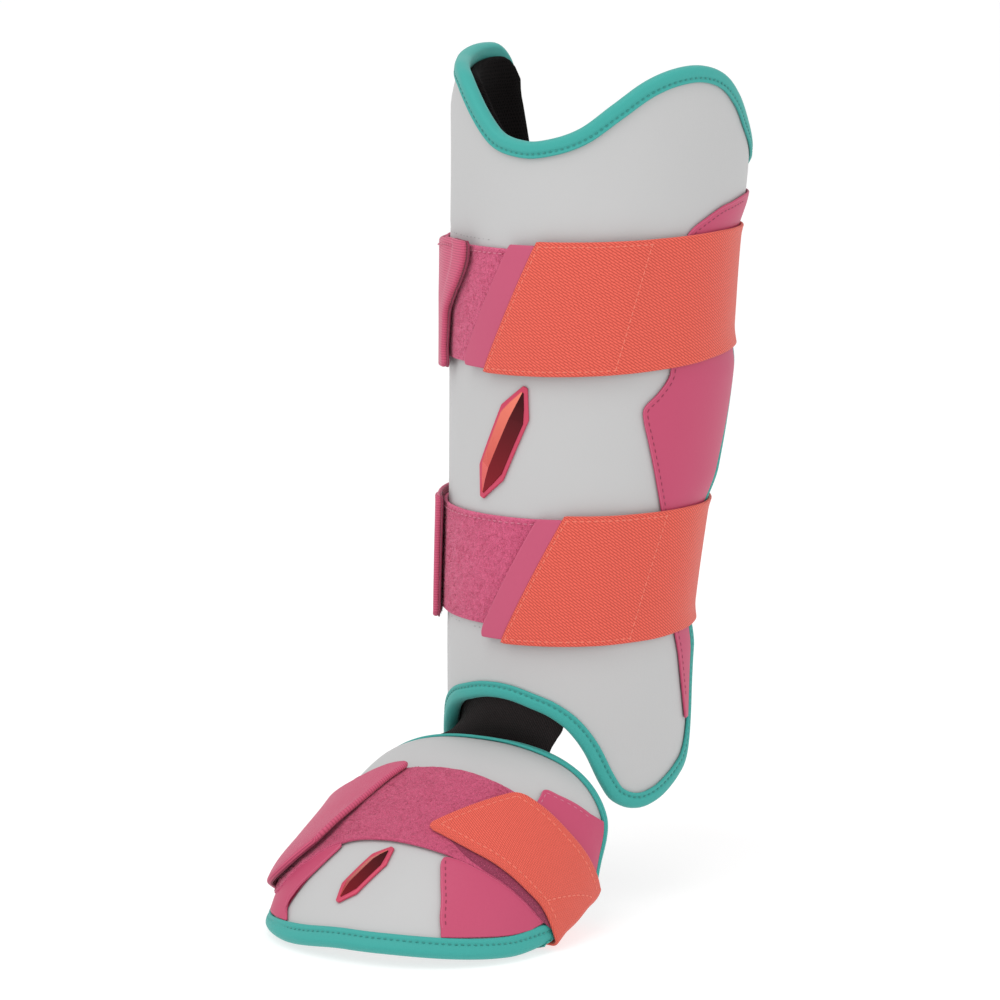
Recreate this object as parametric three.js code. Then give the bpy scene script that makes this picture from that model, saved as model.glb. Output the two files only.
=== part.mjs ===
// A batter's leg guard for the left leg: a shin guard with a foot guard hung below it.
// Millimetres, +Z up, -Y to the front, +X to the outer side of the leg.
// The origin is where the shin rests on the lining, on the front centre line.

import * as THREE from 'three';

// Colours and finishes
const LOOKS = {
  grey: { color: 0xc7c7c7, roughness: 0.6, metalness: 0 },
  teal: { color: 0x51afa7, roughness: 0.65, metalness: 0 },
  pink: { color: 0xc35a77, roughness: 0.6, metalness: 0 },
  loop: { color: 0xb95070, roughness: 0.95, metalness: 0 },
  orange: { color: 0xde6355, roughness: 0.85, metalness: 0 },
  black: { color: 0x1a1414, roughness: 0.9, metalness: 0 },
  ruby: { color: 0x5a1218, roughness: 0.25, metalness: 0.6 },
};

// Air at edges, and between curved pieces that lie on each other
const GAP = 0.3;
const AIR = 0.55;
const PANEL_AIR = 0.74;
const FOOT_AIR = 1.15;
const FOOT_LOOP_AIR = 0.92;

// Thicknesses
const SHELL = 3;
const FOOT_SHELL = 2.5;
const BINDING = 1.2;
const PANEL = 1;
const LOOP = 1.8;
const STRAP = 1.5;
const STRAP_END = 2.6;
const LINING = 5.2;
const BADGE_BASE = 1.1;
const BADGE_GEM = 2.2;
const CONNECTOR = 1.4;

// Binding: how far it rolls past the shell's edge, where the roll starts and how much thinner
// it is there, how much its inside eases at the fold, spare room on the shell's hollow side,
// and the width of its legs
const ROLL = 2.2;
const ROLL_START = 0.6;
const ROLL_EASE = 0.3;
const FOLD_EASE = 0.2;
const HOLLOW_ROOM = 0.15;
const SHIN_LEG = 5;
const FOOT_LEG = 6;

// Heights of layers above the shell's outer face
const STRAP_SEAT = AIR + LOOP + AIR;
const FOOT_STRAP_SEAT = FOOT_LOOP_AIR + LOOP + AIR;
const STRAP_SEAT_BARE = GAP + BINDING + AIR;
const BINDING_DEPTH = GAP + BINDING + HOLLOW_ROOM;
const LINING_OUT = -(SHELL + BINDING_DEPTH + AIR);
const LINING_IN = LINING_OUT - LINING;
const CONNECTOR_UNDER_SHIN = LINING_OUT - CONNECTOR / 2;
const CONNECTOR_UNDER_FOOT = -(FOOT_SHELL + BINDING_DEPTH + AIR + CONNECTOR / 2);

// Shin sections: height, radius of the shell, place of its centre along Y
const SHIN_SECTIONS = [
  [40, 53, -23],
  [140, 54, -22],
  [200, 57.5, -15],
  [250, 61.5, -8],
  [310, 63.5, -4],
  [350, 65.2, -0.5],
  [400, 65, -1.5],
];

// Back edges of the shin shell: height, inner edge and outer edge in degrees from the front
const BACK_EDGES = [
  [60, -112, 118],
  [110, -112, 120],
  [160, -112, 117],
  [200, -112, 119],
  [215, -112.5, 122],
  [235, -113, 127.5],
  [260, -115, 131],
  [300, -116, 137],
  [325, -115.5, 143],
  [350, -110.5, 145],
  [400, -100.5, 142],
];

// The inner wing leans in towards its top: by how much, over which heights and degrees
const LEAN = { depth: 3.6, heights: [310, 400], degrees: [-20, -60] };

// Top edge of the shin shell: share of the wrap from the inner back edge, height
const TOP_EDGE = [
  [0, 392.5],
  [0.074, 393.6],
  [0.186, 390.4],
  [0.272, 387],
  [0.3, 384],
  [0.326, 378.6],
  [0.354, 371.5],
  [0.378, 365.5],
  [0.399, 361.1],
  [0.441, 357.4],
  [0.463, 356.9],
  [0.49, 358],
  [0.54, 363.1],
  [0.587, 373],
  [0.638, 382.8],
  [0.691, 388.3],
  [0.74, 387.6],
  [0.787, 382],
  [0.825, 374],
  [0.87, 361.5],
  [0.93, 348],
  [1, 340],
];

// Bottom edge of the shin shell: share of the wrap away from the middle, height
const BOTTOM_MIDDLE = 0.49;
const BOTTOM_EDGE = [
  [0, 121.2],
  [0.03, 120.6],
  [0.07, 118.2],
  [0.12, 113.8],
  [0.155, 108],
  [0.19, 98.2],
  [0.225, 84],
  [0.245, 77.6],
  [0.265, 74.5],
  [0.305, 72.2],
  [0.345, 73.6],
  [0.4, 78.7],
  [0.44, 83],
  [0.52, 86],
];

// Rounded corners of the shin shell: share of the wrap, height
const CORNERS = {
  innerTop: [0.05, 15],
  outerTop: [0.05, 10],
  innerBottom: [0.06, 20],
  outerBottom: [0.075, 28],
};

// Front edge of the pink outer panel: height, degrees from the front
const LATERAL_FRONT = [
  [104, 108.5],
  [122, 101.5],
  [145, 92.8],
  [172, 82.5],
  [200, 73],
  [215, 67.6],
  [232, 61.4],
  [240, 58.6],
  [246, 58],
  [252, 63.5],
  [258, 67.6],
  [264, 68.5],
  [290, 69],
  [314, 71],
  [321, 74],
  [326, 82],
  [329.6, 90],
  [331, 97],
  [332.2, 104],
  [333, 111],
];
const LATERAL_BACK_SHARE = 0.966;

// Shin straps. Angles are degrees from the front and grow round the outer side to the back.
// A strap leaves the loop panel between the two angles of STRAP_DROP, leaves the shell at
// STRAP_FREE and meets its ribbed end at STRAP_JOIN. Its tab and its ribbed end take up
// the given shares of its width. The edges rise by the given amounts from front to back and
// sag by the amounts in `sag`, the strap's front end is cut on a slant, and `hem` gives the
// ribbed end's edge: share of its width from the bottom, degrees.
const STRAP_DROP = [48, 62];
const STRAP_FREE = 130;
const STRAP_JOIN = 244;
const TAB_WIDTH = [0.03, 0.97];
const END_WIDTH = [0.01, 0.97];
const SHIN_STRAPS = [
  {
    name: 'upper',
    bottom: 259.6,
    bottomRise: 10.5,
    top: 317.1,
    topRise: 6.2,
    sag: [
      [130, 0],
      [200, 5.2],
      [250, 7.4],
      [295, 7],
      [307, 6.3],
      [325, 1.2],
      [343, -0.6],
    ],
    endBottom: -9.4,
    endTop: 13.2,
    tabBottom: -22,
    tabTop: 3.6,
    hem: [
      [0, -35.5],
      [0.12, -37.3],
      [0.3, -36.2],
      [0.44, -34],
      [0.57, -29.4],
      [0.7, -24.2],
      [0.82, -20.6],
      [1, -18.6],
    ],
    loopBottom: 262.5,
    loopTop: 313.3,
  },
  {
    name: 'lower',
    bottom: 144,
    bottomRise: 3.2,
    top: 200.5,
    topRise: 1.6,
    sag: [
      [130, 0],
      [200, -1],
      [250, -1.7],
      [300, -2.2],
      [343, -2.2],
    ],
    endBottom: 3.8,
    endTop: 29.2,
    tabBottom: -8,
    tabTop: 19.5,
    hem: [
      [0, -44],
      [1, -40],
    ],
    loopBottom: 151,
    loopTop: 198.5,
  },
];
const LOOP_INNER_END = -66;
const LOOP_OUTER_END = 46;

// Foot sections from the instep (0) to the toe rim (1): inner rim x y z, outer rim x y z,
// ridge x y z, fullness of the inner half, fullness of the outer half
const FOOT_SECTIONS = [
  [0, -68, -75, 56, 52, -66, 58, -9, -70, 97.2, 2.4, 2.2],
  [0.1, -69, -84, 52, 54, -75, 53, -9, -80, 100, 2.35, 2.22],
  [0.25, -70, -93, 45, 57, -84, 45, -8, -94, 98, 2.28, 2.25],
  [0.5, -65, -110, 37, 59.5, -100, 37, -7, -126, 83, 2.2, 2.35],
  [0.75, -63.5, -123, 33, 60.5, -113, 33, -5, -161, 60, 2.3, 2.4],
  [1, -60.5, -135.5, 30.5, 61, -124, 30.5, -0.5, -185, 32, 2.25, 2.2],
];

// Rounded corners of the foot shell: share across, share along
const FOOT_REAR_CORNER = [0.22, 0.2];
const FOOT_FRONT_CORNER = [0.22, 0.13];

// Foot panels: side, the part of the rim that a panel follows, mesh columns, and its upper edge
// as shares along and across. The rim counts 0 at the toes, FOOT_PANEL_RIM where it turns to
// run back, 1 where it turns in behind the instep.
const FOOT_REAR_EDGE = [
  [0.335, 0.475],
  [0.3, 0.468],
  [0.26, 0.465],
  [0.225, 0.532],
  [0.16, 0.635],
  [0.105, 0.72],
];
const MEDIAL_REAR_EDGE = [
  [0.335, 0.615],
  [0.3, 0.61],
  [0.26, 0.605],
  [0.225, 0.62],
  [0.16, 0.655],
  [0.11, 0.7],
];
const FOOT_PANELS = [
  {
    name: 'lateral_front',
    side: 1,
    rim: [0, 0.25],
    columns: 5,
    edge: [
      [0.92, 0.434],
      [0.87, 0.41],
      [0.8, 0.384],
      [0.73, 0.343],
      [0.67, 0.307],
      [0.66, 0.36],
      [0.664, 0.44],
      [0.674, 0.548],
      [0.69, 0.645],
      [0.718, 0.75],
      [0.76, 0.815],
    ],
  },
  { name: 'lateral_rear', side: 1, rim: [0.9, 1.18], columns: 4, edge: FOOT_REAR_EDGE },
  {
    name: 'medial_front',
    side: -1,
    rim: [0, 0.18],
    columns: 3,
    edge: [
      [0.92, 0.362],
      [0.878, 0.362],
      [0.838, 0.318],
      [0.79, 0.257],
      [0.74, 0.208],
      [0.69, 0.17],
      [0.692, 0.2],
      [0.715, 0.257],
      [0.745, 0.307],
      [0.77, 0.362],
      [0.807, 0.417],
      [0.85, 0.48],
      [0.885, 0.59],
    ],
  },
  { name: 'medial_rear', side: -1, rim: [0.9, 1.18], columns: 4, edge: MEDIAL_REAR_EDGE },
];
const FOOT_PANEL_TOE = { outer: 0.46, inner: 0.355 };
const FOOT_PANEL_RIM = 0.34;
const FOOT_PANEL_MARGIN = 1;

// Loop band over the instep: share across, rear edge and front edge as shares along the foot
const FOOT_LOOP = [
  [-0.8, 0.43, 0.8],
  [-0.72, 0.44, 0.845],
  [-0.63, 0.455, 0.855],
  [-0.53, 0.465, 0.84],
  [-0.47, 0.468, 0.815],
  [-0.417, 0.466, 0.785],
  [-0.362, 0.46, 0.748],
  [-0.307, 0.443, 0.722],
  [-0.257, 0.425, 0.694],
  [-0.2, 0.402, 0.672],
  [-0.11, 0.388, 0.653],
  [0.03, 0.37, 0.645],
  [0.16, 0.362, 0.643],
  [0.27, 0.36, 0.643],
  [0.36, 0.358, 0.643],
  [0.43, 0.357, 0.646],
  [0.49, 0.356, 0.65],
  [0.55, 0.355, 0.656],
  [0.65, 0.354, 0.668],
  [0.75, 0.352, 0.69],
  [0.83, 0.352, 0.72],
  [0.87, 0.352, 0.73],
];

// Edges of the foot strap: share across, rear edge and front edge as shares along the foot.
// Then the shares across of its tip, of its ribbed end's hem and of that end's join, and
// the extra room that it takes round the rim.
const FOOT_STRAP_OUTER = [
  [0.2, 0.37, 0.6],
  [0.39, 0.36, 0.624],
  [0.5, 0.349, 0.631],
  [0.67, 0.328, 0.658],
  [0.8, 0.295, 0.692],
  [0.88, 0.275, 0.75],
  [0.96, 0.258, 0.81],
  [1, 0.252, 0.832],
];
const FOOT_STRAP_INNER = [
  [0.11, 0.386, 0.56],
  [0.19, 0.396, 0.61],
  [0.27, 0.42, 0.67],
  [0.35, 0.446, 0.728],
  [0.43, 0.455, 0.775],
  [0.53, 0.45, 0.81],
  [0.75, 0.4, 0.828],
  [1, 0.32, 0.838],
];
const FOOT_TIP = { rear: 0.392, front: 0.18 };
const FOOT_HEM = { rear: 0.113, front: 0.275 };
const FOOT_JOIN = 0.975;
const RIM_ROOM = 0.4;

// Connector: its edges in degrees at the shin and as shares across the foot, heights of its
// rows above the shin shell's edge, shares along of its rows in the foot, its height behind
// the foot's rear roll, and how it turns under that roll: nearer by, and above its seat by
const CONNECTOR_TURN = [-50, 33];
const CONNECTOR_ACROSS = [-0.31, 0.3];
const CONNECTOR_SHIN_ROWS = [3.8, 0.4, -4.6];
const CONNECTOR_FOOT_ROWS = [0.05, 0.13, 0.21];
const CONNECTOR_BEHIND = 1.4;
const CONNECTOR_UNDER_TURN = { nearer: 1.1, above: 0.4 };

// Badges: slanted bars with a ridge. Half length, half width, blunt tip, slant in degrees.
// The gem is drawn in from the base, less at the tips, and its sides are low upright edges.
const SHIN_BADGE = { across: 0, along: 230, half: 27.5, width: 7.5, tip: 1, slant: 23 };
const FOOT_BADGE = { across: 0.015, along: 0.768, half: 17, width: 5, tip: 0.8, slant: 25 };
const BADGE_SHOULDER = 0.45;
const GEM_INSET = 1.6;
const GEM_TIP_SHARE = 0.3;
const GEM_EDGE = 0.4;

// Height of the seat above the floor, and how far the lining stays in from the shell's edges
const SEAT_HEIGHT = 232;
const LINING_INSET = 5.5;

// Mesh steps
const SHIN_COLUMNS = 21;
const SHIN_ROWS = 7;
const LINING_COLUMNS = 14;
const LATERAL_COLUMNS = 5;
const STRAP_STEPS = 24;
const STRAP_LAID_SHARE = 0.65;
const FOOT_COLUMNS = 21;
const FOOT_ROWS = 8;
const FOOT_LOOP_ROWS = 3;
const CONNECTOR_COLUMNS = 7;
const STRAP_COLUMNS = 4;
const DOME_STEPS = 10;
const FOOT_END_STEPS = 11;
const SOLE_STEPS = 6;

// Small vector helpers on plain [x, y, z] arrays
const add = (a, b, k = 1) => [a[0] + b[0] * k, a[1] + b[1] * k, a[2] + b[2] * k];
const sub = (a, b) => add(a, b, -1);
const dot = (a, b) => a[0] * b[0] + a[1] * b[1] + a[2] * b[2];
const cross = (a, b) => [
  a[1] * b[2] - a[2] * b[1],
  a[2] * b[0] - a[0] * b[2],
  a[0] * b[1] - a[1] * b[0],
];
const unit = (a) => add([0, 0, 0], a, 1 / Math.hypot(...a));
const mix = (a, b, t) => a + (b - a) * t;
const mixPoint = (a, b, t) => add(a, sub(b, a), t);
const radians = (degrees) => (degrees * Math.PI) / 180;

// Smooth curve through a table's rows: column `column` at `x`, run on straight past both ends
function along(table, x, column = 1) {
  const last = table.length - 1;
  const rise = (i) => (table[i + 1][column] - table[i][column]) / (table[i + 1][0] - table[i][0]);
  const slope = (i) => {
    if (i === 0) return rise(0);
    if (i === last) return rise(last - 1);
    const before = table[i][0] - table[i - 1][0];
    const after = table[i + 1][0] - table[i][0];
    return (rise(i - 1) * after + rise(i) * before) / (before + after);
  };
  if (x <= table[0][0]) return table[0][column] + slope(0) * (x - table[0][0]);
  if (x >= table[last][0]) return table[last][column] + slope(last) * (x - table[last][0]);
  const i = table.findIndex((row, k) => k < last && x <= table[k + 1][0]);
  const span = table[i + 1][0] - table[i][0];
  const t = (x - table[i][0]) / span;
  const s = 1 - t;
  return (
    table[i][column] * (1 + 2 * t) * s * s +
    table[i + 1][column] * (3 - 2 * t) * t * t +
    span * t * s * (slope(i) * s - slope(i + 1) * t)
  );
}

// Smooth step from 0 to 1 between two ends
function ease(x, [start, stop]) {
  const t = Math.min(Math.max((x - start) / (stop - start), 0), 1);
  return t * t * (3 - 2 * t);
}

// Surface of the shin shell's outer face, at degrees from the front and a height
function shinFace(degrees, z) {
  const lean = LEAN.depth * ease(z, LEAN.heights) * ease(degrees, LEAN.degrees);
  const radius = along(SHIN_SECTIONS, z, 1) - lean;
  const angle = radians(degrees);
  return [radius * Math.sin(angle), along(SHIN_SECTIONS, z, 2) - radius * Math.cos(angle), z];
}

// Surface of the foot shell's outer face, at shares across (-1 to 1) and along (0 to 1)
function footFace(across, share) {
  const column = (k) => along(FOOT_SECTIONS, share, k);
  const point = (k) => [column(k), column(k + 1), column(k + 2)];
  const inner = point(1);
  const outer = point(4);
  const ridge = point(7);
  const middle = mixPoint(inner, outer, 0.5);
  const angle = (across * Math.PI) / 2;
  const sine = Math.sin(angle);
  const cosine = Math.cos(angle);
  const power = column(across < 0 ? 10 : 11);
  const reach = (Math.abs(sine) ** power + Math.abs(cosine) ** power) ** (-1 / power);
  const sideways = add(middle, sub(outer, middle), sine * reach);
  return add(sideways, sub(ridge, middle), cosine * reach);
}

// Directions on a face at (a, b): along each of its two measures, and outwards
function frameOn(face, a, b) {
  const stepA = face === shinFace ? 0.05 : 0.001;
  const stepB = face === shinFace ? 0.05 : 0.001;
  const alongA = add([0, 0, 0], sub(face(a + stepA, b), face(a - stepA, b)), 0.5 / stepA);
  const alongB = add([0, 0, 0], sub(face(a, b + stepB), face(a, b - stepB)), 0.5 / stepB);
  const turn = face === shinFace ? 1 : -1;
  const out = add([0, 0, 0], unit(cross(alongA, alongB)), turn);
  return { point: face(a, b), alongA, alongB, out };
}

// Point at a height above a face
function lift(face, a, b, height) {
  const frame = frameOn(face, a, b);
  return add(frame.point, frame.out, height);
}

// Place on a face reached from (a, b) by walking a distance in a direction
function walk(face, a, b, direction, distance, steps = 4) {
  for (let i = 0; i < steps; i += 1) {
    const { alongA, alongB } = frameOn(face, a, b);
    const aa = dot(alongA, alongA);
    const ab = dot(alongA, alongB);
    const bb = dot(alongB, alongB);
    const da = dot(alongA, direction);
    const db = dot(alongB, direction);
    const det = aa * bb - ab * ab;
    a += ((da * bb - db * ab) / det) * (distance / steps);
    b += ((db * aa - da * ab) / det) * (distance / steps);
  }
  return [a, b];
}

// Rounding of a corner: how much an edge draws back at a share from its end
function corner(share, [width, depth]) {
  if (share >= width) return 0;
  const t = 1 - Math.max(share, 0) / width;
  return depth * (1 - Math.sqrt(1 - t * t));
}

const topEdge = (share) =>
  along(TOP_EDGE, share) - corner(share, CORNERS.innerTop) - corner(1 - share, CORNERS.outerTop);
const bottomEdge = (share) =>
  along(BOTTOM_EDGE, Math.abs(share - BOTTOM_MIDDLE)) +
  corner(share, CORNERS.innerBottom) +
  corner(1 - share, CORNERS.outerBottom);
const wrapAngle = (share, z) => mix(along(BACK_EDGES, z, 1), along(BACK_EDGES, z, 2), share);
const footRear = (across) => corner(1 - Math.abs(across), FOOT_REAR_CORNER);
const footFront = (across) => 1 - corner(1 - Math.abs(across), FOOT_FRONT_CORNER);

// Shares from 0 to 1 for a mesh's columns: close together in both corners, even between them
function columnShares(first, last, middle, arc = 4) {
  const turns = Array.from({ length: arc }, (_, i) => 1 - Math.cos((Math.PI * i) / (2 * arc)));
  const even = Array.from({ length: middle + 1 }, (_, i) => mix(first, 1 - last, i / middle));
  return [...turns.map((t) => t * first), ...even, ...turns.map((t) => 1 - t * last).reverse()];
}

// Closed solid from points and triangles, turned so that its faces look outwards
function solid(points, triangles) {
  let volume = 0;
  for (const [i, j, k] of triangles) volume += dot(points[i], cross(points[j], points[k]));
  const faces = volume > 0 ? triangles : triangles.map(([i, j, k]) => [i, k, j]);
  const geometry = new THREE.BufferGeometry();
  geometry.setAttribute('position', new THREE.Float32BufferAttribute(points.flat(), 3));
  geometry.setIndex(faces.flat());
  geometry.computeVertexNormals();
  return geometry;
}

// Sheet with two faces: place(s, t, side) gives its points, side 0 underneath and 1 on top
function sheet(columns, rows, place) {
  const points = [];
  for (const side of [0, 1]) {
    for (let j = 0; j <= rows; j += 1) {
      for (let i = 0; i <= columns; i += 1) points.push(place(i / columns, j / rows, side));
    }
  }
  const id = (side, i, j) => (side * (rows + 1) + j) * (columns + 1) + i;
  const triangles = [];
  const quad = (a, b, c, d) => triangles.push([a, b, c], [a, c, d]);
  for (let j = 0; j < rows; j += 1) {
    for (let i = 0; i < columns; i += 1) {
      quad(id(1, i, j), id(1, i + 1, j), id(1, i + 1, j + 1), id(1, i, j + 1));
      quad(id(0, i, j), id(0, i, j + 1), id(0, i + 1, j + 1), id(0, i + 1, j));
    }
  }
  for (let i = 0; i < columns; i += 1) {
    quad(id(0, i, 0), id(0, i + 1, 0), id(1, i + 1, 0), id(1, i, 0));
    quad(id(1, i, rows), id(1, i + 1, rows), id(0, i + 1, rows), id(0, i, rows));
  }
  for (let j = 0; j < rows; j += 1) {
    quad(id(1, 0, j), id(1, 0, j + 1), id(0, 0, j + 1), id(0, 0, j));
    quad(id(0, columns, j), id(0, columns, j + 1), id(1, columns, j + 1), id(1, columns, j));
  }
  return solid(points, triangles);
}

// Sheet on a face between two heights: where(s, t) gives the place on the face
function sheetOn(face, columns, rows, low, high, where) {
  return sheet(columns, rows, (s, t, side) => {
    const [a, b] = where(s, t);
    return lift(face, a, b, side ? high : low);
  });
}

// Band of even thickness about a middle surface given as rows of points
function band(grid, thickness) {
  const rows = grid.length - 1;
  const columns = grid[0].length - 1;
  const clamp = (value, top) => Math.min(Math.max(value, 0), top);
  return sheet(columns, rows, (s, t, side) => {
    const i = Math.round(s * columns);
    const j = Math.round(t * rows);
    const across = sub(grid[j][clamp(i + 1, columns)], grid[j][clamp(i - 1, columns)]);
    const down = sub(grid[clamp(j + 1, rows)][i], grid[clamp(j - 1, rows)][i]);
    return add(grid[j][i], unit(cross(across, down)), (side - 0.5) * thickness);
  });
}

// Closed ring swept by a profile: stations of equal numbers of points
function ring(stations) {
  const count = stations[0].length;
  const triangles = [];
  stations.forEach((station, i) => {
    const here = i * count;
    const next = ((i + 1) % stations.length) * count;
    station.forEach((point, k) => {
      const up = (k + 1) % count;
      triangles.push([here + k, next + k, next + up], [here + k, next + up, here + up]);
    });
  });
  return solid(stations.flat(), triangles);
}

// Binding folded over the edge of a shell: profile of distance in from the edge and height
function bindingProfile(wall, leg) {
  const under = -wall - AIR - HOLLOW_ROOM;
  const top = GAP + BINDING;
  const bottom = -wall - BINDING_DEPTH;
  const middle = -wall / 2;
  return [
    [leg, AIR],
    [leg, top],
    [-ROLL_START, top - ROLL_EASE],
    [-ROLL, middle],
    [-ROLL_START, bottom + ROLL_EASE],
    [leg, bottom],
    [leg, under],
    [-AIR, under - FOLD_EASE],
    [-AIR, AIR + FOLD_EASE],
  ];
}

// Places round the edge of a shell, one for each column and row of its mesh
function outline(shares, rows, place) {
  const steps = Array.from({ length: rows }, (_, j) => j / rows);
  const last = shares.length - 1;
  return [
    ...shares.slice(0, last).map((share) => place(share, 0)),
    ...steps.map((t) => place(1, t)),
    ...shares.slice(1).reverse().map((share) => place(share, 1)),
    ...steps.map((t) => place(0, 1 - t)),
  ];
}

function bindingOn(face, loop, wall, leg) {
  const count = loop.length;
  const profile = bindingProfile(wall, leg);
  const turn = face === shinFace ? 1 : -1;
  const stations = loop.map(([a, b], i) => {
    const before = unit(sub(face(a, b), face(...loop[(i + count - 1) % count])));
    const after = unit(sub(face(...loop[(i + 1) % count]), face(a, b)));
    const { out } = frameOn(face, a, b);
    const inward = unit(add([0, 0, 0], cross(out, add(before, after)), turn));
    return profile.map(([distance, height]) => {
      const [pa, pb] = walk(face, a, b, inward, distance);
      return lift(face, pa, pb, height);
    });
  });
  return ring(stations);
}

// Shin shell and its binding
const SHIN_SHARES = columnShares(CORNERS.innerTop[0], CORNERS.outerTop[0], SHIN_COLUMNS);
const shinPlace = (share, t) => {
  const z = mix(bottomEdge(share), topEdge(share), t);
  return [wrapAngle(share, z), z];
};

function shinShell() {
  const columns = SHIN_SHARES.length - 1;
  return sheetOn(shinFace, columns, SHIN_ROWS, -SHELL, 0, (s, t) =>
    shinPlace(SHIN_SHARES[Math.round(s * columns)], t),
  );
}

function shinBinding() {
  return bindingOn(shinFace, outline(SHIN_SHARES, SHIN_ROWS, shinPlace), SHELL, SHIN_LEG);
}

// Lining pad: drawn in from the top and bottom edges, out to the back edges
function shinLining() {
  const shares = columnShares(CORNERS.innerTop[0], CORNERS.outerTop[0], LINING_COLUMNS, 3);
  const columns = shares.length - 1;
  return sheetOn(shinFace, columns, SHIN_ROWS, LINING_IN, LINING_OUT, (s, t) => {
    const share = shares[Math.round(s * columns)];
    const z = mix(bottomEdge(share) + LINING_INSET, topEdge(share) - LINING_INSET, t);
    return [wrapAngle(share, z), z];
  });
}

function lateralPanel() {
  const rows = LATERAL_FRONT.length - 1;
  return sheetOn(shinFace, LATERAL_COLUMNS, rows, PANEL_AIR, PANEL_AIR + PANEL, (s, t) => {
    const [z, front] = LATERAL_FRONT[Math.round(t * rows)];
    return [mix(front, wrapAngle(LATERAL_BACK_SHARE, z), s), z];
  });
}

function loopPanel(strap) {
  return sheetOn(shinFace, 14, 2, AIR, AIR + LOOP, (s, t) => [
    mix(LOOP_INNER_END, LOOP_OUTER_END, s),
    mix(strap.loopBottom, strap.loopTop, t),
  ]);
}

// Shin straps: height of a strap's edges, and of its underside above the shell
const risen = (base, rise, angle) => base + (rise * (1 - Math.cos(radians(angle)))) / 2;
const strapSag = (strap, angle) => (angle > STRAP_FREE ? along(strap.sag, angle) : 0);
const strapHeight = (strap, angle, t) =>
  mix(risen(strap.bottom, strap.bottomRise, angle), risen(strap.top, strap.topRise, angle), t) -
  strapSag(strap, angle);
const strapSeat = (angle) => mix(STRAP_SEAT, STRAP_SEAT_BARE, ease(angle, STRAP_DROP));

function strapBand(strap) {
  const laid = STRAP_LAID_SHARE;
  return sheet(STRAP_STEPS, STRAP_COLUMNS, (s, t, side) => {
    const end = mix(strap.endBottom, strap.endTop, t);
    const angle =
      s < laid
        ? mix(end, STRAP_FREE, s / laid)
        : mix(STRAP_FREE, STRAP_JOIN, (s - laid) / (1 - laid));
    return lift(shinFace, angle, strapHeight(strap, angle, t), strapSeat(angle) + side * STRAP);
  });
}

function strapTab(strap) {
  return sheetOn(shinFace, 2, STRAP_COLUMNS, STRAP_SEAT, STRAP_SEAT + STRAP, (s, t) => {
    const level = mix(...TAB_WIDTH, t);
    const start = mix(strap.tabBottom, strap.tabTop, level);
    const stop = mix(strap.endBottom, strap.endTop, level) - AIR;
    const angle = mix(start, stop, s);
    return [angle, strapHeight(strap, angle, level)];
  });
}

function strapEnd(strap) {
  return sheet(11, 3, (s, t, side) => {
    const angle = mix(along(strap.hem, t) + 360, STRAP_JOIN + GAP, s);
    const height = STRAP_SEAT + side * STRAP_END;
    return lift(shinFace, angle, strapHeight(strap, angle, mix(...END_WIDTH, t)), height);
  });
}

// Badge: a bar with blunt pointed ends, lying on a face
function badgeSheet(face, badge, inset, low, high) {
  const { point, alongA, alongB, out } = frameOn(face, badge.across, badge.along);
  const upward = unit(face === shinFace ? alongB : add([0, 0, 0], alongB, -1));
  const sideways = cross(upward, out);
  const slant = radians(badge.slant);
  const length = add(add([0, 0, 0], upward, Math.cos(slant)), sideways, Math.sin(slant));
  const width = add(add([0, 0, 0], sideways, Math.cos(slant)), upward, -Math.sin(slant));
  return sheet(8, 2, (s, t, side) => {
    const l = 2 * s - 1;
    const w = 2 * t - 1;
    const taper = Math.min(1, (1 - Math.abs(l)) / BADGE_SHOULDER);
    const half = mix(badge.tip, badge.width, taper) - inset * mix(GEM_TIP_SHARE, 1, taper);
    const reach = l * (badge.half - inset * 2);
    const flat = add(add([0, 0, 0], length, reach), width, w * half);
    const distance = Math.hypot(...flat);
    const direction = distance > 0 ? unit(flat) : length;
    const [a, b] = walk(face, badge.across, badge.along, direction, distance);
    return lift(face, a, b, side ? high(taper, w) : low);
  });
}

const badgeBase = (face, badge) => badgeSheet(face, badge, 0, GAP, () => GAP + BADGE_BASE);

function badgeGem(face, badge) {
  const low = GAP + BADGE_BASE + GAP;
  const ridge = (taper, w) => low + mix(GEM_EDGE, BADGE_GEM, taper * (1 - Math.abs(w)));
  return badgeSheet(face, badge, GEM_INSET, low, ridge);
}

// Connector: an elastic strip from behind the shin's bottom edge, down behind the rear rim
// of the foot shell and forward under it
function connector() {
  const low = BOTTOM_EDGE[0][1];
  const columns = Array.from({ length: CONNECTOR_COLUMNS + 1 }, (_, i) => {
    const turn = mix(...CONNECTOR_TURN, i / CONNECTOR_COLUMNS);
    const across = mix(...CONNECTOR_ACROSS, i / CONNECTOR_COLUMNS);
    const share = (turn - wrapAngle(0, low)) / (wrapAngle(1, low) - wrapAngle(0, low));
    const edge = bottomEdge(share);
    const shin = CONNECTOR_SHIN_ROWS.map((above) =>
      lift(shinFace, turn, edge + above, CONNECTOR_UNDER_SHIN),
    );
    const foot = CONNECTOR_FOOT_ROWS.map((share) =>
      lift(footFace, across, share, CONNECTOR_UNDER_FOOT),
    );
    const { point, alongB, out } = frameOn(footFace, across, 0);
    const back = (distance, height) => add(add(point, unit(alongB), -distance), out, height);
    const clear = ROLL + AIR + CONNECTOR / 2;
    const behind = [back(clear, CONNECTOR_BEHIND), back(clear, -FOOT_SHELL)];
    const { nearer, above } = CONNECTOR_UNDER_TURN;
    const turnUnder = back(clear - nearer, CONNECTOR_UNDER_FOOT + above);
    return [...shin, mixPoint(shin[2], behind[0], 0.5), ...behind, turnUnder, ...foot];
  });
  return band(columns, CONNECTOR);
}

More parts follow.
